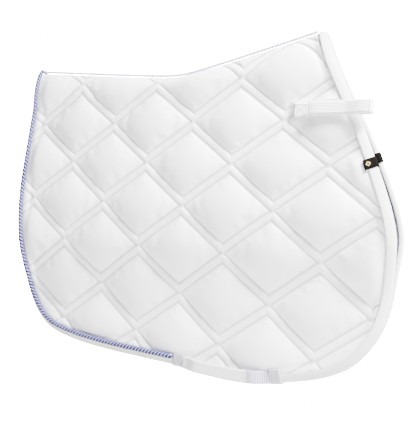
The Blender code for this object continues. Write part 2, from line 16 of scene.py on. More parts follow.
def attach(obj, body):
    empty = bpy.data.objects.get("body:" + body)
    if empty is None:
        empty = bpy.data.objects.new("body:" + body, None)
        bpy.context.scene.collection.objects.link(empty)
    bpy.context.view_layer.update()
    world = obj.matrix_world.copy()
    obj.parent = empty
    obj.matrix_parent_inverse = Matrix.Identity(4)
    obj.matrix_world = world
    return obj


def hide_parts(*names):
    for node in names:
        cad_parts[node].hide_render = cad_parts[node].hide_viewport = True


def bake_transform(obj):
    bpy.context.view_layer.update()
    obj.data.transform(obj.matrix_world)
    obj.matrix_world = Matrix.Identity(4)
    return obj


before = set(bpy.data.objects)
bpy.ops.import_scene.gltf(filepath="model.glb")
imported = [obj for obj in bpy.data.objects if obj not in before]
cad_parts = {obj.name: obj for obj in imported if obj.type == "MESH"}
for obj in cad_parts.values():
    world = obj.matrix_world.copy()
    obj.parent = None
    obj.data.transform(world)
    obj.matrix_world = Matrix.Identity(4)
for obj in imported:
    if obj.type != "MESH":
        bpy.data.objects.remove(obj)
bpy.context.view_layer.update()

bl_info = {
    "name": "Quilted saddle pad",
    "version": (1, 0, 0),
    "blender": (4, 5, 0),
    "location": "3D View > Sidebar > Saddle Pad",
    "description": "Builds the sewn pieces of a diamond-quilted saddle pad",
    "category": "Add Mesh",
}

# ---- clearances and layers, in metres
GAP = 0.0003
SEAM_GAP = 0.0005
EDGE_STACK = 0.0044
EDGE_TAPER = 0.014
FABRIC_THICKNESS = 0.0008
WADDING_THICKNESS = 0.0064
LINING_THICKNESS = 0.0008
STACK = FABRIC_THICKNESS + WADDING_THICKNESS + LINING_THICKNESS + 2.0 * GAP
MID_HEIGHT = -STACK / 2.0

# ---- outline
REAR_REACH = 0.338
FRONT_REACH = 0.360
HEM_DROP = 0.485
REAR_BULGE_DROP = 0.185
FRONT_BULGE_DROP = 0.262
HEM_LOW_X = 0.158

# ---- spine
SPINE_REAR_X = -0.315
SPINE_FRONT_X = 0.258
SPINE_STACK = STACK + 0.0009
REAR_SLOPE = 0.166
FRONT_SLOPE = 0.158
DIP_RADIUS = 0.030
FOLD_Z = -0.012

# ---- half distance between the outer faces
HALF_GAP_FOLD = 0.0074 + STACK
HALF_GAP_BELLY = 0.0204 + STACK
HALF_GAP_HEM = 0.0032 + STACK
BELLY_DROP = 0.220
CLOSE_START = 0.238
CLOSE_LENGTH = 0.120

# ---- edge trim
BINDING_THICKNESS = 0.001
FRONT_BINDING_WIDTH = 0.012
REAR_BINDING_WIDTH_TOP = 0.004
REAR_BINDING_WIDTH_HEM = 0.009
FRONT_INNER_LEG = 0.0055
REAR_STITCH_INSET = 0.0010
FRONT_STITCH_INSET = 0.0017
FRONT_BINDING_BULGE = 0.0008
BINDING_RIPPLE = 0.00012
BINDING_COLUMN = 0.0035
STITCH_LENGTH = 0.0025
STITCH_RADIUS = 0.00045
BOX_STITCH_PITCH = 0.0029
GIRTH_STITCH_PITCH = 0.0022
ROPE_RADIUS = 0.0035
ROPE_FULL_RADIUS = 0.0042
RIDGE_ROPE_RADIUS = 0.0025
ROPE_START = 0.006

# ---- girth loop
GIRTH_REAR_X = -0.007
GIRTH_FRONT_X = 0.184
GIRTH_TAB_LENGTH = 0.019
GIRTH_TAB_LEG = 0.020
GIRTH_TAB_TUCK = 0.004
WEBBING_WIDTH = 0.020
WEBBING_THICKNESS = 0.0016
GIRTH_OVERHANG = 0.0025
GIRTH_BOW = 0.011
GIRTH_RAMP = 0.026
ELASTIC_LENGTH = 0.035
ELASTIC_RIB_PITCH = 0.0032
ELASTIC_RIB_HEIGHT = 0.00045

# ---- badge
BADGE_LENGTH = 0.015
BADGE_LEG = 0.016
BADGE_THICKNESS = 0.0009
LOZENGE_SIZE = 0.0030
LOZENGE_THREAD = 0.00070
BADGE_Z = {-1: -0.163, 1: -0.150}

# ---- billet strap
ANCHOR_X = 0.222
ANCHOR_Z = -0.076
ANCHOR_SIZE = 0.022
ANCHOR_LIFT = 2.0 * GAP
STRAP_SLANT = {-1: 0.0, 1: math.radians(-35.0)}
STRAP_SAG = {-1: 0.09, 1: 0.0}
STRAP_REACH = 0.109
STRAP_LIFT = 0.008
NOSE_RADIUS = 0.005
PATCH_LENGTH = 0.034
PATCH_START = 0.028
PATCH_THICKNESS = 0.0012
TAIL_START = 0.016
STRAP_BLEND = 0.004

# ---- quilting lattice: one step down and forward, one step up and forward
DOWN_STEP = np.array([0.0734, -0.0742])
UP_STEP = np.array([0.0864, 0.0613])
LATTICE_HOME = np.array([-0.2896, -0.0479])
DRIFT_DOWN = np.array([-0.00015, -0.0006])
DRIFT_BOTH = np.array([0.00005, 0.0006])
DRIFT_UP = np.array([0.0004, -0.0001])
SIDE_PINCH = 0.022
TIP_SETBACK = 0.105
CELL_AREA = abs(float(np.cross(DOWN_STEP, UP_STEP)))
SEAM_SPACING = CELL_AREA / float(np.linalg.norm(DOWN_STEP))
LINK_SPACING = CELL_AREA / float(np.linalg.norm(DOWN_STEP + UP_STEP))
LINK_LENGTH = float(np.linalg.norm(DOWN_STEP + UP_STEP))
STEP_LENGTH = float(np.linalg.norm(DOWN_STEP))
LINING_SWELL = 0.0011
DOWN_RANGE = (-1, 7)
UP_RANGE = (-3, 5)

# ---- where the trim and the stitching hold the quilted cloth down
REAR_TRIM_WIDTH = 0.0165
FRONT_TRIM_WIDTH = 0.0130
TRIM_FADE = 0.010
RIDGE_SEAM_WIDTH = 0.003
RIDGE_SEAM_FADE = 0.012
PATCH_MARGIN = 0.001
PATCH_FADE = 0.008

# ---- swelling of the quilted cloth
SWELL_FRAMES = 20
SWELL_PRESSURE = 12.0
SWELL_SHARE = 0.42
DOME_SHARE = 0.85
SEAM_REACH = 0.010
WELD_DISTANCE = 0.0012

# ---- stage: each lamp has its name, place, size and power
FLOOR_Z = -0.75
FLOOR_SIZE = 12.0
BACKDROP_GLOW = 60.0
SOFT_LIGHT = 0.26
LAMP_TARGET = (0.0, 0.0, -0.25)
LAMPS = (("key", (1.20, -0.36, 0.90), 0.5, 370.0), ("fill", (-1.4, -1.9, 0.1), 1.6, 4.0),
         ("far_side", (-0.6, 2.4, 0.6), 2.0, 120.0))
CAMERA_PLACE = (0.5934, -0.9782, -0.3037)
CAMERA_YAW = math.radians(28.97)
CAMERA_CLIMB = math.radians(4.21)
CAMERA_LENS = 59.45

SIDES = {"off": -1, "near": 1}


# ---------------------------------------------------------------- settings

class PadSizes(bpy.types.PropertyGroup):
    """Sizes that a user would change."""

    channel_width: FloatProperty(name="Channel width", description="Between the two stitch rows of a channel",
                                 default=0.0132, unit="LENGTH")
    seam_depth: FloatProperty(name="Seam depth", description="How far the quilting pulls the cloth in",
                              default=0.0034, unit="LENGTH")
    puff_rise: FloatProperty(name="Puff rise", description="How far a diamond swells above its seams",
                             default=0.0075, unit="LENGTH")
    stitch_pitch: FloatProperty(name="Stitch pitch", description="From one stitch to the next",
                                default=0.0036, unit="LENGTH")
    rope_pitch: FloatProperty(name="Rope pitch", description="Length of one turn of the rope's strands",
                              default=0.0130, unit="LENGTH")


class PadColours(bpy.types.PropertyGroup):
    """Colours that a user would change."""

    fabric: FloatVectorProperty(name="Fabric", description="Outer cloth", subtype="COLOR",
                                default=(0.86, 0.86, 0.885))
    # painted shade: the lining's dark blue-grey default stands in for the shadow in the gap between the two
    # halves
    lining: FloatVectorProperty(name="Lining", description="Cloth on the horse's side", subtype="COLOR",
                                default=(0.13, 0.135, 0.18))
    binding: FloatVectorProperty(name="Binding", description="Edge tape", subtype="COLOR",
                                 default=(0.88, 0.87, 0.85))
    rope_dark: FloatVectorProperty(name="Dark strand", description="Darker strands of the rear rope",
                                   subtype="COLOR", default=(0.006, 0.005, 0.026))
    rope_mid: FloatVectorProperty(name="Ridge strand", description="Blue strand of the ridge rope",
                                  subtype="COLOR", default=(0.26, 0.26, 0.50))
    rope_light: FloatVectorProperty(name="Light strand", description="Lighter strands of the rear rope",
                                    subtype="COLOR", default=(0.22, 0.21, 0.46))
    webbing: FloatVectorProperty(name="Webbing", description="Straps and girth loops", subtype="COLOR",
                                 default=(0.86, 0.86, 0.88))
    badge: FloatVectorProperty(name="Badge", description="Woven badge", subtype="COLOR",
                               default=(0.003, 0.0022, 0.0020))
    badge_thread: FloatVectorProperty(name="Badge thread", description="Motif on the badge", subtype="COLOR",
                                      default=(0.62, 0.42, 0.16))
    floor: FloatVectorProperty(name="Floor", description="Studio floor", subtype="COLOR",
                               default=(0.90, 0.90, 0.90))


def sizes():
    """The sizes in use."""
    return bpy.context.scene.pad_sizes


def colours():
    """The colours in use."""
    return bpy.context.scene.pad_colours


def half_channel():
    """Half the width of a quilting channel, in lattice steps."""
    return sizes().channel_width / 2.0 / SEAM_SPACING


# ---------------------------------------------------------------- the hanging shape

def ease(value):
    """Smooth 0 to 1 ramp."""
    return 0.5 - 0.5 * np.cos(np.pi * np.clip(value, 0.0, 1.0))


def half_gap(drop):
    """Distance from the middle plane to the outer face, drop metres below the fold."""
    opened = (HALF_GAP_BELLY - HALF_GAP_FOLD) * ease(drop / BELLY_DROP)
    closed = (HALF_GAP_BELLY - HALF_GAP_HEM) * ease((drop - CLOSE_START) / CLOSE_LENGTH)
    return HALF_GAP_FOLD + opened - closed


def ridge(x):
    """Height of the spine's top at x."""
    slope = np.where(np.asarray(x) > 0.0, FRONT_SLOPE, REAR_SLOPE)
    return SPINE_STACK + slope * (np.hypot(x, DIP_RADIUS) - DIP_RADIUS)


def roof_length(x):
    """Length of cloth from the fold line over to the ridge."""
    wide, tall = HALF_GAP_FOLD, ridge(x) - FOLD_Z
    return math.pi / 4.0 * (3.0 * (wide + tall) - np.sqrt((3.0 * wide + tall) * (wide + 3.0 * tall)))


def hang(side, x, level, height):
    """Places on the hanging pad for flat places (x, level) and heights above the outer face."""
    x, level, height = np.broadcast_arrays(np.asarray(x, float), level, height)
    drop = np.maximum(FOLD_Z - level, 0.0)
    slope = (half_gap(np.maximum(drop - 1e-4, 0.0)) - half_gap(drop + 1e-4)) / 2e-4
    length = np.hypot(1.0, slope)
    panel_y = half_gap(drop) + height / length
    panel_z = level - height * slope / length
    turn = np.clip((level - FOLD_Z) / roof_length(x), 0.0, 1.0) * math.pi / 2.0
    roof_y = (HALF_GAP_FOLD + height) * np.cos(turn)
    roof_z = FOLD_Z + np.sin(turn) * (ridge(x) + height * SPINE_STACK / STACK - FOLD_Z)
    on_roof = level > FOLD_Z
    y = np.maximum(np.where(on_roof, roof_y, panel_y), GAP)
    return np.stack([x, side * y, np.where(on_roof, roof_z, panel_z)], axis=-1)


def half_stack(inward):
    """Half the thickness of the layers, inward metres from the cut edge."""
    return EDGE_STACK / 2.0 + np.clip(inward / EDGE_TAPER, 0.0, 1.0) * (STACK - EDGE_STACK) / 2.0


def cut_edge_points():
    """The cut edge's shape, down the rear, along the hem and up the front."""
    hem = -HEM_DROP
    return [
        (SPINE_REAR_X - 0.002, FOLD_Z),
        (-REAR_REACH + 0.010, -REAR_BULGE_DROP + 0.105),
        (-REAR_REACH, -REAR_BULGE_DROP),
        (-REAR_REACH + 0.003, (hem - REAR_BULGE_DROP) / 2.0 + 0.060),
        (-REAR_REACH + 0.020, hem + 0.122),
        (-REAR_REACH + 0.057, hem + 0.072),
        (-REAR_REACH + 0.117, hem + 0.047),
        ((HEM_LOW_X - REAR_REACH) / 2.0 + 0.085, hem + 0.015),
        (HEM_LOW_X, hem),
        (FRONT_REACH - 0.084, hem + 0.024),
        (FRONT_REACH - 0.040, hem + 0.064),
        (FRONT_REACH - 0.018, hem + 0.106),
        (FRONT_REACH - 0.006, hem + 0.161),
        (FRONT_REACH, -FRONT_BULGE_DROP),
        (FRONT_REACH - 0.031, -FRONT_BULGE_DROP + 0.115),
        (SPINE_FRONT_X + 0.018, FOLD_Z),
    ]


def smooth_curve(points, steps):
    """Centripetal spline through the points."""
    knots = [np.array(point) for point in points]
    knots = [2.0 * knots[0] - knots[1]] + knots + [2.0 * knots[-1] - knots[-2]]
    curve = []
    for first, second, third, fourth in zip(knots, knots[1:], knots[2:], knots[3:]):
        gaps = [math.sqrt(np.linalg.norm(span)) for span in (second - first, third - second, fourth - third)]
        start_pull = (second - first) / gaps[0] - (third - first) / (gaps[0] + gaps[1])
        start_pull = (start_pull + (third - second) / gaps[1]) * gaps[1]
        end_pull = (third - second) / gaps[1] - (fourth - second) / (gaps[1] + gaps[2])
        end_pull = (end_pull + (fourth - third) / gaps[2]) * gaps[1]
        for step in range(steps):
            t = step / steps
            place = (2 * t ** 3 - 3 * t ** 2 + 1) * second + (t ** 3 - 2 * t ** 2 + t) * start_pull
            curve.append(place + (3 * t ** 2 - 2 * t ** 3) * third + (t ** 3 - t ** 2) * end_pull)
    curve.append(knots[-2])
    return curve


def running_length(points):
    """Length along a row of points, from its first."""
    return np.concatenate([[0.0], np.cumsum(np.linalg.norm(np.diff(points, axis=0), axis=1))])


def along_row(at, lengths, values):
    """Values at lengths along a row."""
    return np.stack([np.interp(at, lengths, column) for column in values.T], axis=-1)


def roof_end(top_x, fold_x):
    """Flat places from the ridge down to the fold line at one end of the spine strip."""
    places = []
    for turn in np.linspace(math.pi / 2.0, 0.0, 13)[:-1]:
        x = top_x + (1.0 - math.sin(turn)) * (fold_x - top_x)
        places.append(np.array([x, FOLD_Z + float(roof_length(x)) * turn / (math.pi / 2.0)]))
    return places


class Rim:
    """The pad's free edge laid flat, from the rear of the ridge round the hem to its front."""

    def __init__(self):
        edge = smooth_curve(cut_edge_points(), 9)
        rear = roof_end(SPINE_REAR_X, edge[0][0])
        front = roof_end(SPINE_FRONT_X, edge[-1][0])
        self.points = np.array(rear + edge + front[::-1])
        self.lengths = running_length(self.points)
        self.total = float(self.lengths[-1])
        self.rear_fold = float(self.lengths[len(rear)])
        self.front_fold = float(self.lengths[-1 - len(front)])

    def spot(self, length):
        """Flat places and inward directions at lengths along the rim."""
        def place(at):
            return along_row(at, self.lengths, self.points)

        length = np.clip(length, 0.0, self.total)
        along = place(np.minimum(length + 0.004, self.total)) - place(np.maximum(length - 0.004, 0.0))
        along /= np.linalg.norm(along, axis=-1, keepdims=True)
        return place(length), np.stack([-along[..., 1], along[..., 0]], axis=-1)

    def at_hem(self, x):
        """Length where the hem passes x."""
        hem = self.points[:, 1] < -HEM_DROP / 2.0
        return np.interp(x, self.points[hem, 0], self.lengths[hem])

    def at_front(self, level):
        """Length where the front edge passes a level."""
        front = (self.points[:, 0] > 0.2) & (self.points[:, 1] > -HEM_DROP + 0.05)
        return float(np.interp(level, self.points[front, 1], self.lengths[front]))

    def outline(self):
        """The whole flat outline, closed along the ridge."""
        x = np.linspace(SPINE_FRONT_X, SPINE_REAR_X, 60)[1:-1]
        return np.concatenate([self.points, np.stack([x, FOLD_Z + roof_length(x)], axis=-1)])


RIM = Rim()
MEETING = float(RIM.at_hem((GIRTH_REAR_X + GIRTH_FRONT_X) / 2.0))
ROPE_END = float(RIM.at_hem(GIRTH_REAR_X)) - 0.001
REAR_BINDING_FULL = float(RIM.at_hem(-REAR_REACH + 0.117))


def at_rim(side, length, inward, height):
    """Places beside the rim of one side."""
    place, direction = RIM.spot(np.asarray(length, float))
    inward = np.asarray(inward, float)[..., None]
    flat = place + direction * inward
    return hang(side, flat[..., 0], flat[..., 1], height)


def nearest_on(points, line):
    """Distance from each point to a polyline, and the nearest place on it."""
    starts, spans = line[:-1], np.diff(line, axis=0)
    best = np.full(len(points), 1e9)
    nearest = points.copy()
    for start, span in zip(starts, spans):
        share = np.clip((points - start) @ span / max(float(span @ span), 1e-12), 0.0, 1.0)
        place = start + share[:, None] * span
        away = np.linalg.norm(points - place, axis=1)
        closer = away < best
        best[closer] = away[closer]
        nearest[closer] = place[closer]
    return best, nearest


def inside(points, outline):
    """Whether each point lies inside a closed outline."""
    within = np.zeros(len(points), bool)
    for start, end in zip(outline, np.roll(outline, -1, axis=0)):
        if start[1] == end[1]:
            continue
        crosses = (start[1] > points[:, 1]) != (end[1] > points[:, 1])
        reach = start[0] + (points[:, 1] - start[1]) / (end[1] - start[1]) * (end[0] - start[0])
        within ^= crosses & (points[:, 0] < reach)
    return within


# ---------------------------------------------------------------- mesh tools

def finished(name, mesh, material, smooth=True):
    """Object of a finished mesh."""
    mesh.name = name
    if mesh.materials:
        mesh.materials.clear()
    mesh.materials.append(material)
    if smooth:
        mesh.shade_smooth()
    obj = bpy.data.objects.new(name, mesh)
    bpy.context.scene.collection.objects.link(obj)
    return obj


def mesh_of(bm):
    """Mesh of a bmesh, which is then freed."""
    mesh = bpy.data.meshes.new("piece")
    bm.to_mesh(mesh)
    bm.free()
    return mesh


def placed_grid(columns, rows, place, flat):
    """Grid whose points run 0 to 1 both ways; place hangs them and flat gives their UV in metres."""
    bm = bmesh.new()
    bmesh.ops.create_grid(bm, x_segments=columns, y_segments=rows, size=0.5)
    shares = np.array([vert.co[:2] for vert in bm.verts]) + 0.5
    layer = bm.loops.layers.uv.new("flat")
    spread = np.stack(flat(shares[:, 0], shares[:, 1]), axis=-1)
    for face in bm.faces:
        for loop in face.loops:
            loop[layer].uv = spread[loop.vert.index]
    for vert, point in zip(bm.verts, place(shares[:, 0], shares[:, 1])):
        vert.co = point
    return bm


def thicken(bm, thickness):
    """Give a sheet its thickness, inwards from its front, and close it."""
    bm.normal_update()
    bmesh.ops.solidify(bm, geom=bm.verts[:] + bm.edges[:] + bm.faces[:], thickness=thickness)
    bmesh.ops.recalc_face_normals(bm, faces=bm.faces[:])
    return bm


def strip(name, columns, rows, place, flat, thickness, material, outward):
    """Closed strip of cloth or webbing; outward is a direction that its front faces."""
    bm = placed_grid(columns, rows, place, flat)
    bm.normal_update()
    layer = bm.loops.layers.uv["flat"]
    tops = [max(loop[layer].uv.y for loop in face.loops) for face in bm.faces]
    facing = sum((face.normal for face, top in zip(bm.faces, tops) if top <= 0.4 * max(tops)), Vector())
    if facing.dot(Vector(outward)) < 0.0:
        bmesh.ops.reverse_faces(bm, faces=bm.faces[:])
    thicken(bm, thickness)
    return finished(name, mesh_of(bm), material)


def tube(name, points, radius, material, sides=3, closed=False):
    """Round tube along points, made through a curve."""
    curve = bpy.data.curves.new(name, "CURVE")
    curve.dimensions = "3D"
    curve.bevel_depth = radius
    curve.bevel_resolution = sides - 2
    curve.use_fill_caps = not closed
    spline = curve.splines.new("POLY")
    spline.points.add(len(points) - 1)
    spline.points.foreach_set("co", np.concatenate([points, np.ones((len(points), 1))], axis=1).ravel())
    spline.use_cyclic_u = closed
    holder = bpy.data.objects.new(name, curve)
    mesh = bpy.data.meshes.new_from_object(holder)
    bpy.data.objects.remove(holder)
    bpy.data.curves.remove(curve)
    return finished(name, mesh, material)


def join(name, parts):
    """One object from several, keeping each part's material."""
    bm = bmesh.new()
    materials = []
    for part in parts:
        before = len(bm.faces)
        bm.from_mesh(part.data)
        bm.faces.ensure_lookup_table()
        if part.data.materials[0] not in materials:
            materials.append(part.data.materials[0])
        for face in bm.faces[before:]:
            face.material_index = materials.index(part.data.materials[0])
    for part in parts:
        bpy.data.objects.remove(part)
    mesh = mesh_of(bm)
    obj = finished(name, mesh, materials[0])
    for material in materials[1:]:
        mesh.materials.append(material)
    return obj


def stitches(name, places, material, length=STITCH_LENGTH, radius=STITCH_RADIUS):
    """Rounded stitches; each place is (position, along, out)."""
    bm = bmesh.new()
    for position, along, out in places:
        along = Vector(along).normalized()
        across = Vector(out).cross(along).normalized()
        turned = Matrix((across, along, across.cross(along))).transposed().to_4x4()
        shape = Matrix.Diagonal((radius, length / 2.0, radius * 0.8, 1.0))
        bmesh.ops.create_uvsphere(bm, u_segments=6, v_segments=4, radius=1.0,
                                  matrix=Matrix.Translation(position) @ turned @ shape)
    bmesh.ops.recalc_face_normals(bm, faces=bm.faces[:])
    return finished(name, mesh_of(bm), material)


def row_places(points, outs, pitch):
    """Stitch places along a dense row of points."""
    lengths = running_length(points)
    at = np.arange(pitch / 2.0, lengths[-1], pitch)
    ahead, behind = along_row(at + 0.001, lengths, points), along_row(at - 0.001, lengths, points)
    return list(zip(along_row(at, lengths, points), ahead - behind, along_row(at, lengths, outs)))


# ---------------------------------------------------------------- shader tools

def add_node(tree, kind, inputs=(), **settings):
    """Node with its settings; an input is linked from a socket or set to a value."""
    item = tree.nodes.new(kind)
    for key, value in settings.items():
        setattr(item, key, value)
    for key, value in dict(inputs).items():
        if isinstance(value, bpy.types.NodeSocket):
            tree.links.new(value, item.inputs[key])
        else:
            item.inputs[key].default_value = value
    return item


def calculate(tree, operation, *values):
    """Output of a Math node."""
    item = add_node(tree, "ShaderNodeMath", enumerate(values), operation=operation)
    return item.outputs[0]


def times(tree, first, second):
    """Output of a product."""
    return calculate(tree, "MULTIPLY", first, second)


def plus(tree, first, second):
    """Output of a sum."""
    return calculate(tree, "ADD", first, second)


def minus(tree, first, second):
    """Output of a difference."""
    return calculate(tree, "SUBTRACT", first, second)


def magnitude(tree, value):
    """Output of a value without its sign."""
    return calculate(tree, "ABSOLUTE", value)


def object_place(tree):
    """Place on the object, in metres."""
    return add_node(tree, "ShaderNodeTexCoord").outputs["Object"]


def fade(tree, value, low, high):
    """1 at or below low, falling smoothly to 0 at high."""
    item = add_node(tree, "ShaderNodeMapRange", {"Value": value, "From Min": low, "From Max": high,
                                                 "To Min": 1.0, "To Max": 0.0},
                    interpolation_type="SMOOTHSTEP")
    return item.outputs["Result"]


def blend_colour(tree, share, first, second, mode="MIX"):
    """Mix of two colours."""
    item = tree.nodes.new("ShaderNodeMix")
    item.data_type = "RGBA"
    item.blend_type = mode
    for socket, value in ((item.inputs[0], share), (item.inputs[6], first), (item.inputs[7], second)):
        if isinstance(value, bpy.types.NodeSocket):
            tree.links.new(value, socket)
        else:
            socket.default_value = value if isinstance(value, float) else (*value[:3], 1.0)
    return item.outputs[2]


def new_group(name, inputs, outputs):
    """Shader node group with named sockets; returns the tree, its input node and its output node."""
    tree = bpy.data.node_groups.new(name, "ShaderNodeTree")
    for label, kind, default in inputs:
        socket = tree.interface.new_socket(name=label, in_out="INPUT", socket_type=kind)
        if default is not None:
            socket.default_value = default
    for label, kind in outputs:
        tree.interface.new_socket(name=label, in_out="OUTPUT", socket_type=kind)
    return tree, tree.nodes.new("NodeGroupInput"), tree.nodes.new("NodeGroupOutput")


def weave_group():
    """Threads of a cloth: a plain weave, or a twill when Diagonal is 1."""
    tree, start, end = new_group(
        "Weave",
        [("Vector", "NodeSocketVector", None), ("Pitch", "NodeSocketFloat", 0.0008),
         ("Diagonal", "NodeSocketFloat", 0.0)],
        [("Height", "NodeSocketFloat")])
    split = add_node(tree, "ShaderNodeSeparateXYZ", {0: start.outputs["Vector"]})
    rate = calculate(tree, "DIVIDE", 2.0 * math.pi, start.outputs["Pitch"])
    warp = times(tree, split.outputs[0], rate)
    weft = times(tree, split.outputs[1], rate)
    plain = times(tree, calculate(tree, "SINE", warp), calculate(tree, "SINE", weft))
    twill = calculate(tree, "SINE", plus(tree, warp, weft))
    twill = plus(tree, twill, times(tree, calculate(tree, "SINE", warp), 0.4))
    change = times(tree, minus(tree, twill, plain), start.outputs["Diagonal"])
    height = times(tree, plus(tree, plain, change), 0.5)
    tree.links.new(plus(tree, height, 0.5), end.inputs["Height"])
    return tree


def thread_row_group():
    """Row of stitches along a line: Across is the distance from it, Along the length on it."""
    tree, start, end = new_group(
        "Stitch row",
        [("Across", "NodeSocketFloat", 0.0), ("Along", "NodeSocketFloat", 0.0),
         ("Pitch", "NodeSocketFloat", 0.0036), ("Width", "NodeSocketFloat", 0.0007)],
        [("Mask", "NodeSocketFloat")])
    beside = calculate(tree, "DIVIDE", magnitude(tree, start.outputs["Across"]),
                       start.outputs["Width"])
    turns = calculate(tree, "DIVIDE", start.outputs["Along"], start.outputs["Pitch"])
    phase = calculate(tree, "FRACT", turns)
    centred = magnitude(tree, minus(tree, phase, 0.5))
    mask = times(tree, fade(tree, beside, 0.4, 1.0), fade(tree, centred, 0.30, 0.42))
    tree.links.new(mask, end.inputs["Mask"])
    return tree


def wear_group():
    """Uneven whiteness of washed cloth: broad patches and fine lint."""
    tree, start, end = new_group(
        "Washed cloth",
        [("Vector", "NodeSocketVector", None), ("Colour", "NodeSocketColor", (0.8, 0.8, 0.8, 1.0)),
         ("Patches", "NodeSocketFloat", 0.04), ("Lint", "NodeSocketFloat", 0.03)],
        [("Colour", "NodeSocketColor"), ("Roughness", "NodeSocketFloat")])
    broad = add_node(tree, "ShaderNodeTexNoise", {"Vector": start.outputs["Vector"], "Scale": 9.0,
                                                  "Detail": 3.0, "Roughness": 0.55})
    fine = add_node(tree, "ShaderNodeTexNoise", {"Vector": start.outputs["Vector"], "Scale": 900.0,
                                                 "Detail": 2.0, "Roughness": 0.6})
    patch = times(tree, minus(tree, broad.outputs[0], 0.5),
                      start.outputs["Patches"])
    lint = times(tree, minus(tree, fine.outputs[0], 0.5), start.outputs["Lint"])
    level = plus(tree, plus(tree, patch, lint), 1.0)
    grey = add_node(tree, "ShaderNodeCombineXYZ", {0: level, 1: level, 2: level})
    colour = blend_colour(tree, 1.0, start.outputs["Colour"], grey.outputs[0], "MULTIPLY")
    tree.links.new(colour, end.inputs["Colour"])
    tree.links.new(plus(tree, times(tree, patch, 2.0), 0.5),
                   end.inputs["Roughness"])
    return tree


def quilt_group():
    """Distances on the quilting lattice, read from a UV map in lattice steps."""
    tree, start, end = new_group(
        "Quilting lattice",
        [("Vector", "NodeSocketVector", None), ("Half channel", "NodeSocketFloat", 0.06)],
        [("Down seam", "NodeSocketFloat"), ("Up seam", "NodeSocketFloat"), ("Link", "NodeSocketFloat"),
         ("Along down", "NodeSocketFloat"), ("Along up", "NodeSocketFloat"), ("Nearest", "NodeSocketFloat")])
    split = add_node(tree, "ShaderNodeSeparateXYZ", {0: start.outputs["Vector"]})
    half = start.outputs["Half channel"]

    def from_line(value):
        return minus(tree, value, calculate(tree, "ROUND", value))

    down, up = from_line(split.outputs[0]), from_line(split.outputs[1])
    down_size, up_size = magnitude(tree, down), magnitude(tree, up)

    def border(first, second):
        beside = minus(tree, first, half)
        beyond = calculate(tree, "MAXIMUM", minus(tree, half, second), 0.0)
        away = calculate(tree, "SQRT", plus(tree, times(tree, beside, beside),
                                                 times(tree, beyond, beyond)))
        return times(tree, away, SEAM_SPACING)

    down_seam, up_seam = border(up_size, down_size), border(down_size, up_size)
    slip = times(tree, magnitude(tree, minus(tree, down, up)),
                     LINK_SPACING)
    middle = times(tree, magnitude(tree, plus(tree, down, up)), 0.5)
    over = times(tree, calculate(tree, "MAXIMUM", minus(tree, middle, half), 0.0),
                     LINK_LENGTH)
    link = calculate(tree, "SQRT", plus(tree, times(tree, slip, slip),
                                             times(tree, over, over)))
    nearest = calculate(tree, "MINIMUM", calculate(tree, "MINIMUM", down_seam, up_seam), link)
    distances = (("Down seam", down_seam), ("Up seam", up_seam), ("Link", link), ("Nearest", nearest))
    for label, value in distances:
        tree.links.new(value, end.inputs[label])
    for label, value in (("Along down", split.outputs[0]), ("Along up", split.outputs[1])):
        tree.links.new(times(tree, value, STEP_LENGTH), end.inputs[label])
    return tree


def use_group(tree, name, maker, **inputs):
    """Place a shared group in a material, built the first time that it is used."""
    group = bpy.data.node_groups.get(name) or maker()
    item = tree.nodes.new("ShaderNodeGroup")
    item.node_tree = group
    for key, value in inputs.items():
        socket = item.inputs[key.replace("_", " ")]
        if isinstance(value, bpy.types.NodeSocket):
            tree.links.new(value, socket)
        else:
            socket.default_value = value
    return item


def start_material(name, roughness, sheen=0.0, specular=0.3):
    """New material; returns it with its tree and its Principled shader."""
    material = bpy.data.materials.new(name)
    material.use_nodes = True
    tree = material.node_tree
    shader = tree.nodes["Principled BSDF"]
    shader.inputs["Roughness"].default_value = roughness
    shader.inputs["Sheen Weight"].default_value = sheen
    shader.inputs["Sheen Roughness"].default_value = 0.45
    shader.inputs["Specular IOR Level"].default_value = specular
    return material, tree, shader


def bump(tree, shader, height, distance, strength=1.0):
    """Bump from a height of 0 to 1 worth distance metres."""
    item = add_node(tree, "ShaderNodeBump", {"Height": height, "Distance": distance, "Strength": strength})
    tree.links.new(item.outputs["Normal"], shader.inputs["Normal"])


def flat_uv(tree, name="flat"):
    """Flat place on the cloth, from the piece's own UV map."""
    return add_node(tree, "ShaderNodeUVMap", uv_map=name).outputs[0]


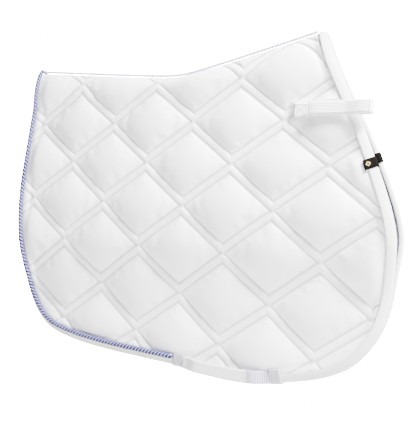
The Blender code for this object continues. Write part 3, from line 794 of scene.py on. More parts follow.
def quilted_cloth(name, colour, weave_pitch, diagonal, roughness, sheen, crease_depth):
    """Cloth quilted in double-stitched channels, with threads, stitches and gathers at the seams, and painted
    shade in the seam grooves.
    """
    if bpy.data.materials.get(name):
        return bpy.data.materials[name]
    material, tree, shader = start_material(name, roughness, sheen)
    place = flat_uv(tree, "quilting")
    half = half_channel()
    lattice = use_group(tree, "Quilting lattice", quilt_group, Vector=place, Half_channel=half)
    pitch = sizes().stitch_pitch
    rows = [use_group(tree, "Stitch row", thread_row_group, Across=lattice.outputs[seam],
                      Along=lattice.outputs[along], Pitch=pitch).outputs[0]
            for seam, along in (("Down seam", "Along down"), ("Up seam", "Along up"), ("Link", "Along up"))]
    sewing = calculate(tree, "MAXIMUM", calculate(tree, "MAXIMUM", rows[0], rows[1]), rows[2])
    world = object_place(tree)
    scaled = add_node(tree, "ShaderNodeVectorMath", {0: place, 1: (STEP_LENGTH,) * 3}, operation="MULTIPLY")
    threads = use_group(tree, "Weave", weave_group, Vector=scaled.outputs[0], Pitch=weave_pitch,
                        Diagonal=diagonal)
    washed = use_group(tree, "Washed cloth", wear_group, Vector=world, Colour=(*colour, 1.0), Patches=0.035)
    # painted shade: the colour darkens towards 0.42 of itself in the stitched grooves, standing in for their
    # shadow
    painted_seam_shade = fade(tree, lattice.outputs["Nearest"], 0.0003, 0.0024)
    shade = tuple(part * 0.42 for part in colour)
    tinted = blend_colour(tree, times(tree, painted_seam_shade, 0.85), washed.outputs["Colour"], shade)
    tinted = blend_colour(tree, times(tree, sewing, 0.8), tinted, (0.90, 0.90, 0.92))
    tree.links.new(tinted, shader.inputs["Base Color"])
    gather_down = calculate(tree, "SINE", times(tree, lattice.outputs["Along down"], 1150.0))
    gather_up = calculate(tree, "SINE", times(tree, lattice.outputs["Along up"], 1310.0))
    near_down = fade(tree, lattice.outputs["Down seam"], 0.0004, 0.0075)
    near_up = fade(tree, lattice.outputs["Up seam"], 0.0004, 0.0075)
    uneven = add_node(tree, "ShaderNodeTexNoise", {"Vector": world, "Scale": 60.0, "Detail": 2.0})
    gathers = plus(tree, times(tree, gather_down, near_down),
                        times(tree, gather_up, near_up))
    gathers = times(tree, times(tree, gathers, uneven.outputs[0]), crease_depth)
    height = plus(tree, times(tree, threads.outputs[0], 0.10), gathers)
    height = plus(tree, height, times(tree, sewing, 0.9))
    groove = fade(tree, lattice.outputs["Nearest"], 0.0, 0.0035)
    height = minus(tree, height, times(tree, groove, 1.6))
    bump(tree, shader, height, 0.0006)
    return material


def woven_tape(name, colour, pitch, diagonal, roughness=0.6, rib=0.0, depth=0.0004, patches=0.03,
               sheen=0.15, specular=0.3):
    """Tape or webbing; rib is the spacing of ribs across it, or 0 for none."""
    if bpy.data.materials.get(name):
        return bpy.data.materials[name]
    material, tree, shader = start_material(name, roughness, sheen, specular)
    place = flat_uv(tree)
    threads = use_group(tree, "Weave", weave_group, Vector=place, Pitch=pitch, Diagonal=diagonal)
    world = object_place(tree)
    washed = use_group(tree, "Washed cloth", wear_group, Vector=world, Colour=(*colour, 1.0), Patches=patches)
    height = threads.outputs[0]
    low = minus(tree, 1.0, height)
    if rib:
        split = add_node(tree, "ShaderNodeSeparateXYZ", {0: place})
        ribs = calculate(tree, "SINE", times(tree, split.outputs[1], 2.0 * math.pi / rib))
        height = plus(tree, times(tree, height, 0.4), times(tree, ribs, 0.6))
        low = fade(tree, ribs, -1.0, -0.2)
    # painted shade: the colour darkens towards 0.82 of itself in the low threads and, on ribbed webbing, in
    # the hollows between the ribs
    shade = tuple(part * 0.82 for part in colour)
    tinted = blend_colour(tree, times(tree, low, 0.35), washed.outputs["Colour"], shade)
    tree.links.new(tinted, shader.inputs["Base Color"])
    bump(tree, shader, height, depth)
    return material


def thread(name, colour, roughness=0.55, twist=0.0011):
    """Plied sewing thread or cord strand, with its fine plies."""
    if bpy.data.materials.get(name):
        return bpy.data.materials[name]
    material, tree, shader = start_material(name, roughness, 0.03, 0.12)
    world = object_place(tree)
    turned = add_node(tree, "ShaderNodeMapping", {"Vector": world, "Rotation": (0.5, 0.7, 0.3)})
    ply = add_node(tree, "ShaderNodeTexWave", {"Vector": turned.outputs[0], "Scale": 0.32 / twist,
                                               "Distortion": 1.5, "Detail": 2.0})
    washed = use_group(tree, "Washed cloth", wear_group, Vector=world, Colour=(*colour, 1.0),
                       Patches=0.15, Lint=0.25)
    shade = tuple(part * 0.7 for part in colour)
    tinted = blend_colour(tree, times(tree, ply.outputs["Fac"], 0.35), washed.outputs["Colour"], shade)
    tree.links.new(tinted, shader.inputs["Base Color"])
    bump(tree, shader, ply.outputs["Fac"], 0.0002)
    return material


def fastening_tape(name, colour, scale, depth):
    """Loop pile or hooks of a touch fastener."""
    if bpy.data.materials.get(name):
        return bpy.data.materials[name]
    material, tree, shader = start_material(name, 0.8, 0.4)
    world = object_place(tree)
    cells = add_node(tree, "ShaderNodeTexVoronoi", {"Vector": world, "Scale": scale, "Randomness": 0.45})
    washed = use_group(tree, "Washed cloth", wear_group, Vector=world, Colour=(*colour, 1.0), Lint=0.2)
    # painted shade: the colour darkens towards 0.6 of itself in the low hollows between the loops and hooks
    shade = tuple(part * 0.6 for part in colour)
    tree.links.new(blend_colour(tree, cells.outputs["Distance"], washed.outputs["Colour"], shade),
                   shader.inputs["Base Color"])
    bump(tree, shader, minus(tree, 1.0, cells.outputs["Distance"]), depth)
    return material


def outer_cloth():
    """White satin-like cloth of the outer face."""
    return quilted_cloth("outer_cloth", tuple(colours().fabric), 0.0009, 0.0, 0.50, 0.08, 0.30)


def lining_cloth():
    """Twill of the horse's side; its dark blue-grey is painted shade, standing in for the shadow in the gap
    between the halves.
    """
    return quilted_cloth("lining_cloth", tuple(colours().lining), 0.0014, 1.0, 0.85, 0.35, 0.20)


def binding_tape():
    """Twill edge tape."""
    return woven_tape("binding_tape", tuple(colours().binding), 0.0011, 1.0)


def strap_webbing():
    """Ribbed webbing of the billet straps."""
    return woven_tape("strap_webbing", tuple(colours().webbing), 0.0010, 0.0, rib=0.0022)


def elastic_webbing():
    """Grey elastic and the sewn tabs of the girth loops."""
    return woven_tape("elastic_webbing", (0.42, 0.42, 0.50), 0.0016, 0.0, 0.7)


def tape_thread():
    """Sewing thread of the edge tape and the webbing."""
    return thread("tape_thread", (0.34, 0.30, 0.25), twist=0.0006)


def badge_cloth():
    """Black woven cloth of the badges."""
    return woven_tape("badge_cloth", tuple(colours().badge), 0.0007, 1.0, 0.9, depth=0.0003, patches=0.3,
                      sheen=0.0, specular=0.04)


def badge_thread():
    """Gold thread of the lozenge."""
    return thread("badge_thread", tuple(colours().badge_thread), 0.4, 0.0005)


def girth_webbing():
    """Webbing of the girth loops."""
    return woven_tape("girth_webbing", (0.66, 0.66, 0.68), 0.0016, 0.0, 0.6, depth=0.00012)


def loop_pile():
    """Loop side of the touch fastener."""
    return fastening_tape("loop_pile", (0.80, 0.80, 0.80), 900.0, 0.0008)


def hooks():
    """Hook side of the touch fastener."""
    return fastening_tape("hooks", (0.74, 0.74, 0.76), 620.0, 0.0010)


# ---------------------------------------------------------------- the quilted halves

def lattice_steps():
    """Positions of the grid lines within one step of the lattice, ending short of the next."""
    half = half_channel()
    shares = np.linspace(0.0, 1.0, 23)
    shares = shares - 0.35 * np.sin(2.0 * math.pi * shares) / (2.0 * math.pi)
    diamond = half + (1.0 - 2.0 * half) * shares
    return np.concatenate([[0.0, half / 2.0], diamond, [1.0 - half / 2.0]])


def lattice_lines(reach, steps):
    """All the grid lines over a range of lattice steps."""
    lines = [whole + steps for whole in range(*reach)]
    return np.concatenate(lines + [[float(reach[1])]])


def seam_distance(down, up):
    """Distance in metres from lattice places to the nearest quilting seam."""
    half = half_channel()
    down, up = down - np.round(down), up - np.round(up)
    beside_up = np.hypot(np.abs(up) - half, np.maximum(half - np.abs(down), 0.0)) * SEAM_SPACING
    beside_down = np.hypot(np.abs(down) - half, np.maximum(half - np.abs(up), 0.0)) * SEAM_SPACING
    over = np.maximum(np.abs(down + up) / 2.0 - half, 0.0) * LINK_LENGTH
    link = np.hypot(np.abs(down - up) * LINK_SPACING, over)
    return np.minimum(np.minimum(beside_up, beside_down), link)


def crossing(down, up):
    """Flat places of lattice positions; the lattice drifts a little across the cloth."""
    down, up = down[:, None], up[:, None]
    return (LATTICE_HOME + down * DOWN_STEP + up * UP_STEP
            + down * down * DRIFT_DOWN + down * up * DRIFT_BOTH + up * up * DRIFT_UP)


def puff_corner_blend(down, up, half):
    """Lattice positions inside a diamond, whose top and bottom tips stand back from the crossings."""
    cell_down, cell_up = np.floor(down), np.floor(up)
    u = np.clip((down - cell_down - half) / (1.0 - 2.0 * half), 0.0, 1.0)
    v = np.clip((up - cell_up - half) / (1.0 - 2.0 * half), 0.0, 1.0)
    left, top, bottom, right = (1 - u) * (1 - v), (1 - u) * v, u * (1 - v), u * v
    side, tip = SIDE_PINCH, TIP_SETBACK
    return (cell_down + left * side + top * tip + bottom * (1.0 - tip) + right * (1.0 - side),
            cell_up + left * side + top * (1.0 - tip) + bottom * tip + right * (1.0 - side))


def lattice_places(down, up):
    """Flat places of lattice values, in which the channels are bands round the whole numbers."""
    half = half_channel()

    def sides_of(value):
        whole = np.round(value)
        in_band = np.abs(value - whole) < half - 1e-6
        share = np.where(in_band, (value - whole + half) / (2.0 * half), 0.0)
        nudge = 1e-7
        low = np.where(in_band, whole - half - nudge, value)
        high = np.where(in_band, whole + half + nudge, value)
        return (low, 1.0 - share), (high, share)

    total = np.zeros((len(down), 2))
    for down_at, down_weight in sides_of(down):
        for up_at, up_weight in sides_of(up):
            place = crossing(*puff_corner_blend(down_at, up_at, half))
            total += (down_weight * up_weight)[:, None] * place
    return total


def quilt_sheet(steps):
    """Flat sheet on the quilting lattice, trimmed to the pad's outline.

    In the bmesh x and z hold the flat place, and the layer "lattice" holds the lattice values.
    """
    down_lines, up_lines = lattice_lines(DOWN_RANGE, steps), lattice_lines(UP_RANGE, steps)
    bm = bmesh.new()
    bmesh.ops.create_grid(bm, x_segments=len(down_lines) - 1, y_segments=len(up_lines) - 1, size=0.5)
    shares = np.array([vert.co[:2] for vert in bm.verts]) + 0.5
    down = down_lines[np.rint(shares[:, 0] * (len(down_lines) - 1)).astype(int)]
    up = up_lines[np.rint(shares[:, 1] * (len(up_lines) - 1)).astype(int)]
    places = lattice_places(down, up)
    outline = RIM.outline()
    within = inside(places, outline)
    lattice = bm.verts.layers.float_vector.new("lattice")
    for index, vert in enumerate(bm.verts):
        vert.co = (places[index, 0], 0.0, places[index, 1])
        vert[lattice] = (down[index], up[index], 0.0)
    outer = [face for face in bm.faces if not any(within[vert.index] for vert in face.verts)]
    bmesh.ops.delete(bm, geom=outer, context="FACES")
    bm.verts.ensure_lookup_table()
    places = np.array([(vert.co.x, vert.co.z) for vert in bm.verts])
    rim = ~inside(places, outline)
    _, nearest = nearest_on(places[rim], np.vstack([outline, outline[:1]]))
    places[rim] = nearest
    for vert, place in zip(bm.verts, places):
        vert.co = (place[0], 0.0, place[1])
    bmesh.ops.remove_doubles(bm, verts=bm.verts[:], dist=WELD_DISTANCE)
    bm.verts.index_update()
    return bm


def trim_hold(places, inward):
    """1 where trim or stitching holds the cloth down, falling to 0 in the open."""
    on_rear = (places[:, 0] < -0.15) | ((places[:, 1] < -0.30) & (places[:, 0] < GIRTH_REAR_X))
    width = np.where(on_rear, REAR_TRIM_WIDTH, FRONT_TRIM_WIDTH)
    edge = 1.0 - ease((inward - width) / TRIM_FADE)
    to_ridge = FOLD_Z + roof_length(places[:, 0]) - places[:, 1]
    seam = 1.0 - ease((to_ridge - RIDGE_SEAM_WIDTH) / RIDGE_SEAM_FADE)
    anchor = np.maximum(np.abs(places[:, 0] - ANCHOR_X), np.abs(places[:, 1] - ANCHOR_Z))
    patch = 1.0 - ease((anchor - ANCHOR_SIZE / 2.0 - PATCH_MARGIN) / PATCH_FADE)
    return np.maximum(np.maximum(edge, seam), patch)


def swell(sheet, pinned):
    """Inflate a sheet that is sewn down where it is pinned."""
    group = sheet.vertex_groups.new(name="sewn")
    group.add([int(index) for index in np.flatnonzero(pinned)], 1.0, "REPLACE")
    cloth = sheet.modifiers.new("Cloth", "CLOTH")
    settings = cloth.settings
    settings.quality = 5
    settings.mass = 0.15
    settings.tension_stiffness = 12.0
    settings.compression_stiffness = 4.0
    settings.shear_stiffness = 4.0
    settings.bending_stiffness = 0.3
    settings.vertex_group_mass = "sewn"
    settings.shrink_min = -0.030
    settings.use_pressure = True
    settings.uniform_pressure_force = SWELL_PRESSURE
    settings.effector_weights.gravity = 0.0
    cloth.collision_settings.use_collision = False
    cloth.point_cache.frame_start = 1
    cloth.point_cache.frame_end = SWELL_FRAMES
    scene = bpy.context.scene
    for step in range(1, SWELL_FRAMES + 1):
        scene.frame_set(step)
    result = bpy.data.meshes.new_from_object(sheet.evaluated_get(bpy.context.evaluated_depsgraph_get()))
    sheet.modifiers.clear()
    scene.frame_set(1)
    points = np.empty(len(result.vertices) * 3)
    result.vertices.foreach_get("co", points)
    bpy.data.meshes.remove(result)
    return points.reshape(-1, 3)


def seam_profile(distance):
    """Share of the full rise at a distance from the nearest seam."""
    return 1.0 - np.exp(-distance / SEAM_REACH)


def dome(lattice):
    """Share of the full rise on the lattice: domed diamonds, and low rounded channels."""
    half = half_channel()
    inner = np.clip((lattice - np.floor(lattice) - half) / (1.0 - 2.0 * half), 0.0, 1.0)
    diamond = np.clip(np.sin(math.pi * inner[:, 0]) * np.sin(math.pi * inner[:, 1]), 0.0, 1.0) ** 0.6
    beside = np.clip(np.abs(lattice - np.round(lattice)) / half, 0.0, 1.0)
    channel = np.clip(1.0 - beside ** 2, 0.0, 1.0)
    return diamond + 0.16 * np.maximum(channel[:, 0], channel[:, 1])


def outer_half():
    """Quilted outer face of the off half: points, lattice map and flat places."""
    bm = quilt_sheet(lattice_steps())
    places, inward, lattice = note_places(bm)
    distance = seam_distance(lattice[:, 0], lattice[:, 1])
    hold = trim_hold(places, inward)
    edge_height = MID_HEIGHT + half_stack(inward) - 0.0002
    low = edge_height - sizes().seam_depth * (1.0 - hold)
    start = hang(-1, places[:, 0], places[:, 1], low)
    for vert, point in zip(bm.verts, start):
        vert.co = point
    bm.normal_update()
    if sum((face.normal for face in bm.faces), Vector()).y > 0.0:
        bmesh.ops.reverse_faces(bm, faces=bm.faces[:])
    sheet = finished("outer_half", mesh_of(bm), outer_cloth())
    room = sizes().puff_rise * (1.0 - hold)
    sewn = (distance < 1e-4) | (hold > 0.98)
    plain = hang(-1, places[:, 0], places[:, 1], low + room * seam_profile(distance))
    moved = swell(sheet, sewn)
    out = hang(-1, places[:, 0], places[:, 1], low + 0.001) - start
    out /= np.linalg.norm(out, axis=1, keepdims=True)
    rise = np.einsum("ij,ij->i", moved - start, out)
    slide = moved - start - rise[:, None] * out
    limit = np.maximum(2.0 * room, 1e-6)
    capped = SWELL_SHARE * limit * np.tanh(np.maximum(rise, 0.0) / limit) + DOME_SHARE * room * dome(lattice)
    final = start + capped[:, None] * out + slide * (1.0 - hold)[:, None]
    sheet.data.vertices.foreach_set("co", final.ravel())
    return sheet


def lining_height(flats, lattice):
    """Height of the lining's outer side, which swells a little between the seams."""
    places, inward = flats[:, :2], flats[:, 2]
    open_cloth = 1.0 - trim_hold(places, inward)
    puff = LINING_SWELL * open_cloth * seam_profile(seam_distance(lattice[:, 0], lattice[:, 1]))
    return MID_HEIGHT - half_stack(inward) + LINING_THICKNESS - puff


def close_sheet(name, bm, side, far_height, material):
    """Closed body between a hung sheet, drawn for the off side, and its far face."""
    count = len(bm.verts)
    if side > 0:
        bmesh.ops.transform(bm, matrix=Matrix.Diagonal((1.0, -1.0, 1.0, 1.0)), verts=bm.verts[:])
    bmesh.ops.extrude_face_region(bm, geom=bm.faces[:], use_keep_orig=True)
    bm.verts.ensure_lookup_table()
    added = bm.verts[count:]
    keep = bm.verts.layers.float_vector["flat_place"]
    flats = np.array([vert[keep][:] for vert in added])
    values = bm.verts.layers.float_vector["lattice"]
    height = far_height(flats, np.array([vert[values][:2] for vert in added]))
    for vert, point in zip(added, hang(side, flats[:, 0], flats[:, 1], height)):
        vert.co = point
    bmesh.ops.recalc_face_normals(bm, faces=bm.faces[:])
    mesh = mesh_of(bm)
    for layer in ("flat_place", "lattice"):
        mesh.attributes.remove(mesh.attributes[layer])
    return finished(name, mesh, material)


def subdivided(sheet):
    """The sheet's mesh, subdivided once, as a bmesh."""
    smooth = sheet.modifiers.new("Subdivision", "SUBSURF")
    smooth.levels = 1
    smooth.render_levels = 1
    smooth.uv_smooth = "NONE"
    mesh = bpy.data.meshes.new_from_object(sheet.evaluated_get(bpy.context.evaluated_depsgraph_get()))
    sheet.modifiers.clear()
    bm = bmesh.new()
    bm.from_mesh(mesh)
    bpy.data.meshes.remove(mesh)
    return bm


def fold_blend(obj):
    """Bake a piece's placement into its mesh."""
    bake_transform(obj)


def build_quilts():
    """Both padded halves, each from its hem to the ridge."""
    sheet = outer_half()
    for label, side in SIDES.items():
        piece = close_sheet(f"{label}_quilt", subdivided(sheet), side,
                            lambda flats, lattice: lining_height(flats, lattice) + GAP, outer_cloth())
        fold_blend(piece)
        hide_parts(f"{label}_outer_fabric", f"{label}_wadding")
    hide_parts("spine_outer_fabric", "spine_wadding")
    bpy.data.objects.remove(sheet)


def note_places(bm):
    """Keep every point's flat place and its distance from the rim, and map the lattice."""
    places = np.array([(vert.co.x, vert.co.z) for vert in bm.verts])
    inward, _ = nearest_on(places, RIM.points)
    values = bm.verts.layers.float_vector["lattice"]
    lattice = np.array([vert[values][:2] for vert in bm.verts])
    layer = bm.loops.layers.uv.new("quilting")
    for face in bm.faces:
        for loop in face.loops:
            loop[layer].uv = lattice[loop.vert.index]
    keep = bm.verts.layers.float_vector.new("flat_place")
    for vert, place, depth in zip(bm.verts, places, inward):
        vert[keep] = (place[0], place[1], depth)
    return places, inward, lattice


def build_linings():
    """The lining of both halves."""
    half = half_channel()
    steps = np.concatenate([[0.0], half + (1.0 - 2.0 * half) * np.linspace(0.0, 1.0, 13)])
    for label, side in SIDES.items():
        bm = quilt_sheet(steps)
        places, inward, lattice = note_places(bm)
        flats = np.column_stack([places, inward])
        height = lining_height(flats, lattice)
        for vert, point in zip(bm.verts, hang(-1, places[:, 0], places[:, 1], height)):
            vert.co = point
        piece = close_sheet(f"{label}_lining_sheet", bm, side,
                            lambda flats, lattice: lining_height(flats, lattice) - LINING_THICKNESS,
                            lining_cloth())
        fold_blend(piece)
        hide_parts(f"{label}_lining")
    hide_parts("spine_lining")


# ---------------------------------------------------------------- the bound and piped rim

def rear_leg(length):
    """Width of the rear binding at a length along the rim."""
    share = np.clip((length - RIM.rear_fold) / (REAR_BINDING_FULL - RIM.rear_fold), 0.0, 1.0)
    return REAR_BINDING_WIDTH_TOP + share * (REAR_BINDING_WIDTH_HEM - REAR_BINDING_WIDTH_TOP)


def front_leg(length):
    """Width of the front binding at a length along the rim."""
    return np.full_like(length, FRONT_BINDING_WIDTH)


def wrap_place(share, leg, inner_leg, lift, thickness, bulge=0.0):
    """Inward distance and height of the outer side of a strip folded round the rim."""
    far = lift + SEAM_GAP + thickness
    turn = np.clip((share - 0.4) / 0.2, 0.0, 1.0) * math.pi
    inward = np.where(share < 0.4, leg * (1.0 - share / 0.4),
                      np.where(share > 0.6, inner_leg * (share - 0.6) / 0.4, -far * np.sin(turn)))
    height = MID_HEIGHT + (half_stack(np.maximum(inward, 0.0)) + far) * np.cos(turn)
    round_up = bulge * np.sin(math.pi * np.clip(inward / np.where(share < 0.5, leg, inner_leg), 0.0, 1.0))
    return inward, height + round_up * np.cos(turn)


def wrap_strip(name, side, start, end, leg, lift, thickness, material, columns, inner_leg=None, ripple=0.0,
               bulge=0.0):
    """Strip folded round the rim from one length to another."""
    def place(along, share):
        length = start + along * (end - start)
        wide = leg(length)
        inner = wide if inner_leg is None else np.full_like(length, inner_leg)
        inward, height = wrap_place(share, wide, inner, lift, thickness, bulge)
        wave = np.sin(length * 520.0 + 2.5 * np.sin(length * 61.0)) * ripple
        return at_rim(side, length, inward, height + wave * np.sign(height - MID_HEIGHT))

    def flat(along, share):
        return along * (end - start), share * 0.03

    return strip(name, columns, 20, place, flat, thickness, material, (0.0, side, 0.0))


def rim_row(side, start, end, leg, inset, lift, face=1.0):
    """Dense row of points and outward directions beside the rim, on top of its trim."""
    length = np.linspace(start, end, max(int((end - start) / 0.004), 8))
    inward = leg(length) - inset
    height = MID_HEIGHT + face * (half_stack(inward) + SEAM_GAP + lift)
    points = at_rim(side, length, inward, height)
    outs = at_rim(side, length, inward, height + face * 0.001) - points
    return points, outs


def inner_leg_width(length):
    """Width of the front binding on the horse's side."""
    return np.full_like(length, FRONT_INNER_LEG)


def build_bindings():
    """Edge tape with its stitches, folded round the rim of both halves."""
    pitch = sizes().stitch_pitch
    for label, side in SIDES.items():
        spans = (("rear", 0.0, MEETING - GAP, rear_leg, REAR_STITCH_INSET),
                 ("front", MEETING + GAP, RIM.total, front_leg, FRONT_STITCH_INSET))
        for part, start, end, leg, inset in spans:
            piece = wrap_strip(f"{label}_{part}_tape", side, start, end, leg, 0.0, BINDING_THICKNESS,
                               binding_tape(), int((end - start) / BINDING_COLUMN), ripple=BINDING_RIPPLE,
                               inner_leg=FRONT_INNER_LEG if part == "front" else None,
                               bulge=FRONT_BINDING_BULGE if part == "front" else 0.0)
            fold_blend(piece)
            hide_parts(f"{label}_{part}_binding")
            inner = inner_leg_width if part == "front" else leg
            rows = [row_places(*rim_row(side, start, end, width, inset, BINDING_THICKNESS, face), pitch)
                    for width, face in ((leg, 1.0), (inner, -1.0))]
            sewn = stitches(f"{label}_{part}_tape_stitches", rows[0] + rows[1], tape_thread())
            fold_blend(sewn)
    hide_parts("spine_rear_binding")
    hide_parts("spine_front_binding")


def twisted_rope(name, centres, across, out, radius, pitch, materials, sides):
    """Rope of twisted strands round a dense row of centres."""
    lengths = running_length(centres)
    at = np.arange(0.0, lengths[-1], pitch / 9.0)
    centre, across, out = (along_row(at, lengths, values) for values in (centres, across, out))
    strand = radius * 0.464
    parts = []
    for index, material in enumerate(materials):
        turn = -2.0 * math.pi * (at / pitch + index / len(materials))
        offset = (radius - strand) * (np.cos(turn)[:, None] * across + np.sin(turn)[:, None] * out)
        thickness = strand * (1.12 if material is materials[0] else 0.92)
        parts.append(tube(f"{name}_{index}", centre + offset, thickness, material, sides))
    return join(name, parts)


def build_ropes():
    """Rope piping along the rear of both halves and over the ridge."""
    white = thread("rope_white", (0.72, 0.72, 0.84))
    dark, mid, light = (thread(f"rope_{shade}", tuple(getattr(colours(), f"rope_{shade}")))
                        for shade in ("dark", "mid", "light"))
    for label, side in SIDES.items():
        length = np.linspace(ROPE_START, ROPE_END, 420)
        inward = rear_leg(length) + GAP + ROPE_RADIUS
        height = MID_HEIGHT + half_stack(inward + ROPE_RADIUS) + GAP + ROPE_FULL_RADIUS
        centres = at_rim(side, length, inward, height)
        across = at_rim(side, length, inward + 0.001, height) - centres
        out = at_rim(side, length, inward, height + 0.001) - centres
        across /= np.linalg.norm(across, axis=1, keepdims=True)
        out /= np.linalg.norm(out, axis=1, keepdims=True)
        rope = twisted_rope(f"{label}_rope", centres, across, out, ROPE_FULL_RADIUS, sizes().rope_pitch,
                            (dark, light, dark, light), 4)
        fold_blend(rope)
        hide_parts(f"{label}_rope_piping", f"{label}_corner_rope")
    x = np.linspace(SPINE_REAR_X + 0.012, SPINE_FRONT_X - FRONT_BINDING_WIDTH - 0.002, 300)
    centres = np.column_stack([x, np.zeros_like(x), ridge(x) + RIDGE_ROPE_RADIUS + SEAM_GAP])
    across = np.tile((0.0, 1.0, 0.0), (len(x), 1))
    out = np.tile((0.0, 0.0, 1.0), (len(x), 1))
    rope = twisted_rope("ridge_rope", centres, across, out, RIDGE_ROPE_RADIUS, sizes().rope_pitch * 0.5,
                        (mid, white, white), 3)
    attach(rope, "spine")
    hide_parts("spine_rope_piping")


# ---------------------------------------------------------------- the girth loops

def girth_place(side, x, across, height):
    """Places on a girth loop, which follows the hem."""
    return at_rim(side, RIM.at_hem(x), WEBBING_WIDTH / 2.0 - GIRTH_OVERHANG + across, height)


def girth_strip(name, side, start, end, height_at, material, columns):
    """Stretch of the loop between two x, with its height above the outer face as a function of x."""
    def place(along, across):
        x = start + along * (end - start)
        return girth_place(side, x, (across - 0.5) * WEBBING_WIDTH, height_at(x) + WEBBING_THICKNESS / 2.0)

    def flat(along, across):
        return along * (end - start), across * WEBBING_WIDTH

    return strip(name, columns, 6, place, flat, WEBBING_THICKNESS, material, (0.0, side, 0.0))


def build_girth_loops():
    """Sewn tabs, webbing and elastic of both girth loops."""
    sewn_height = MID_HEIGHT + half_stack(FRONT_BINDING_WIDTH) + SEAM_GAP + BINDING_THICKNESS + GAP
    sewn_height += WEBBING_THICKNESS / 2.0 + 0.0004
    start = GIRTH_REAR_X + GIRTH_TAB_LENGTH + GAP
    end = GIRTH_FRONT_X - GIRTH_TAB_LENGTH - GAP
    join_x = end - ELASTIC_LENGTH

    def bow(x):
        rise = np.minimum(ease((x - start - 0.002) / GIRTH_RAMP), ease((end - 0.002 - x) / GIRTH_RAMP))
        return sewn_height + (GIRTH_BOW - sewn_height) * rise

    def ribbed(x):
        return bow(x) + ELASTIC_RIB_HEIGHT * np.sin((x - join_x) * 2.0 * math.pi / ELASTIC_RIB_PITCH)

    for label, side in SIDES.items():
        pieces = []
        for part, x in (("rear", GIRTH_REAR_X), ("front", GIRTH_FRONT_X - GIRTH_TAB_LENGTH)):
            first, last = float(RIM.at_hem(x)), float(RIM.at_hem(x + GIRTH_TAB_LENGTH))
            lift = BINDING_THICKNESS + GAP + (FRONT_BINDING_BULGE if part == "front" else 0.0)
            tab = wrap_strip(f"{label}_girth_{part}_patch", side, first, last,
                             lambda length: np.full_like(length, GIRTH_TAB_LEG), lift, WEBBING_THICKNESS,
                             elastic_webbing(), 8, inner_leg=GIRTH_TAB_TUCK)
            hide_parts(f"{label}_girth_{part}_tab")
            box = box_stitches(lambda u, v: patch_point(side, (first + last) / 2.0 + u, 0.0105 + v, lift),
                               GIRTH_TAB_LENGTH - 0.004, 0.014)
            pieces += [tab, stitches(f"{label}_girth_{part}_stitches", box, tape_thread())]
        web = girth_strip(f"{label}_girth_strap", side, start, join_x - GAP, bow, girth_webbing(), 60)
        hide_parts(f"{label}_girth_webbing")
        stretch = girth_strip(f"{label}_girth_stretch", side, join_x, end, ribbed, elastic_webbing(), 96)
        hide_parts(f"{label}_girth_elastic")
        rows = [row_places(*girth_row(side, x, bow), GIRTH_STITCH_PITCH)
                for x in (start + 0.0025, start + 0.0170, join_x - 0.0030, end - 0.0022)]
        seams = stitches(f"{label}_girth_stitches", sum(rows, []), tape_thread(), length=0.0017)
        for piece in pieces + [web, stretch, seams]:
            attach(piece, f"{label}_panel")


def girth_row(side, x, height_at):
    """Row of points across the loop at x, with their outward directions."""
    across = np.linspace(-WEBBING_WIDTH / 2.0 + 0.001, WEBBING_WIDTH / 2.0 - 0.001, 12)
    height = height_at(np.full_like(across, x)) + WEBBING_THICKNESS / 2.0 + 0.0001
    points = girth_place(side, np.full_like(across, x), across, height)
    return points, girth_place(side, np.full_like(across, x), across, height + 0.001) - points


def patch_point(side, length, inward, lift):
    """Point on top of a patch that is folded round the rim, and a point just above it."""
    height = MID_HEIGHT + half_stack(inward) + SEAM_GAP + lift + WEBBING_THICKNESS + 0.0001
    return at_rim(side, length, inward, height), at_rim(side, length, inward, height + 0.001)


def box_stitches(place, wide, tall):
    """Stitches round a box and across its diagonals; place gives a point and one above it."""
    corners = [(wide * u, tall * v) for u, v in ((-0.5, -0.5), (0.5, -0.5), (0.5, 0.5), (-0.5, 0.5))]
    diagonals = [(corners[0], corners[2]), (corners[1], corners[3])]
    lines = list(zip(corners, corners[1:] + corners[:1])) + diagonals
    found = []
    for (u0, v0), (u1, v1) in lines:
        share = np.linspace(0.0, 1.0, 8)
        points, above = place(u0 + (u1 - u0) * share, v0 + (v1 - v0) * share)
        found += row_places(points, above - points, BOX_STITCH_PITCH)
    return found


# ---------------------------------------------------------------- the badges

def build_badges():
    """Woven badges folded over the front tape, with a plain lozenge."""
    lift = BINDING_THICKNESS + FRONT_BINDING_BULGE + GAP
    top = lift + BADGE_THICKNESS + 0.0002
    for label, side in SIDES.items():
        middle = RIM.at_front(BADGE_Z[side])
        first, last = middle - BADGE_LENGTH / 2.0, middle + BADGE_LENGTH / 2.0
        piece = wrap_strip(f"{label}_woven_badge", side, first, last,
                           lambda length: np.full_like(length, BADGE_LEG), lift, BADGE_THICKNESS,
                           badge_cloth(), 10)
        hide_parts(f"{label}_badge")
        centre = BADGE_LEG * 0.56
        turn = np.linspace(0.0, 2.0 * math.pi, 25)[:-1]
        size = LOZENGE_SIZE / (np.abs(np.cos(turn)) + np.abs(np.sin(turn)))
        inward = centre + size * np.cos(turn)
        height = MID_HEIGHT + half_stack(inward) + SEAM_GAP + top
        points = at_rim(side, middle + size * np.sin(turn), inward, height)
        lozenge = tube(f"{label}_badge_lozenge", points, LOZENGE_THREAD, badge_thread(), 3, closed=True)
        for part in (piece, lozenge):
            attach(part, f"{label}_panel")


# ---------------------------------------------------------------- the billet straps

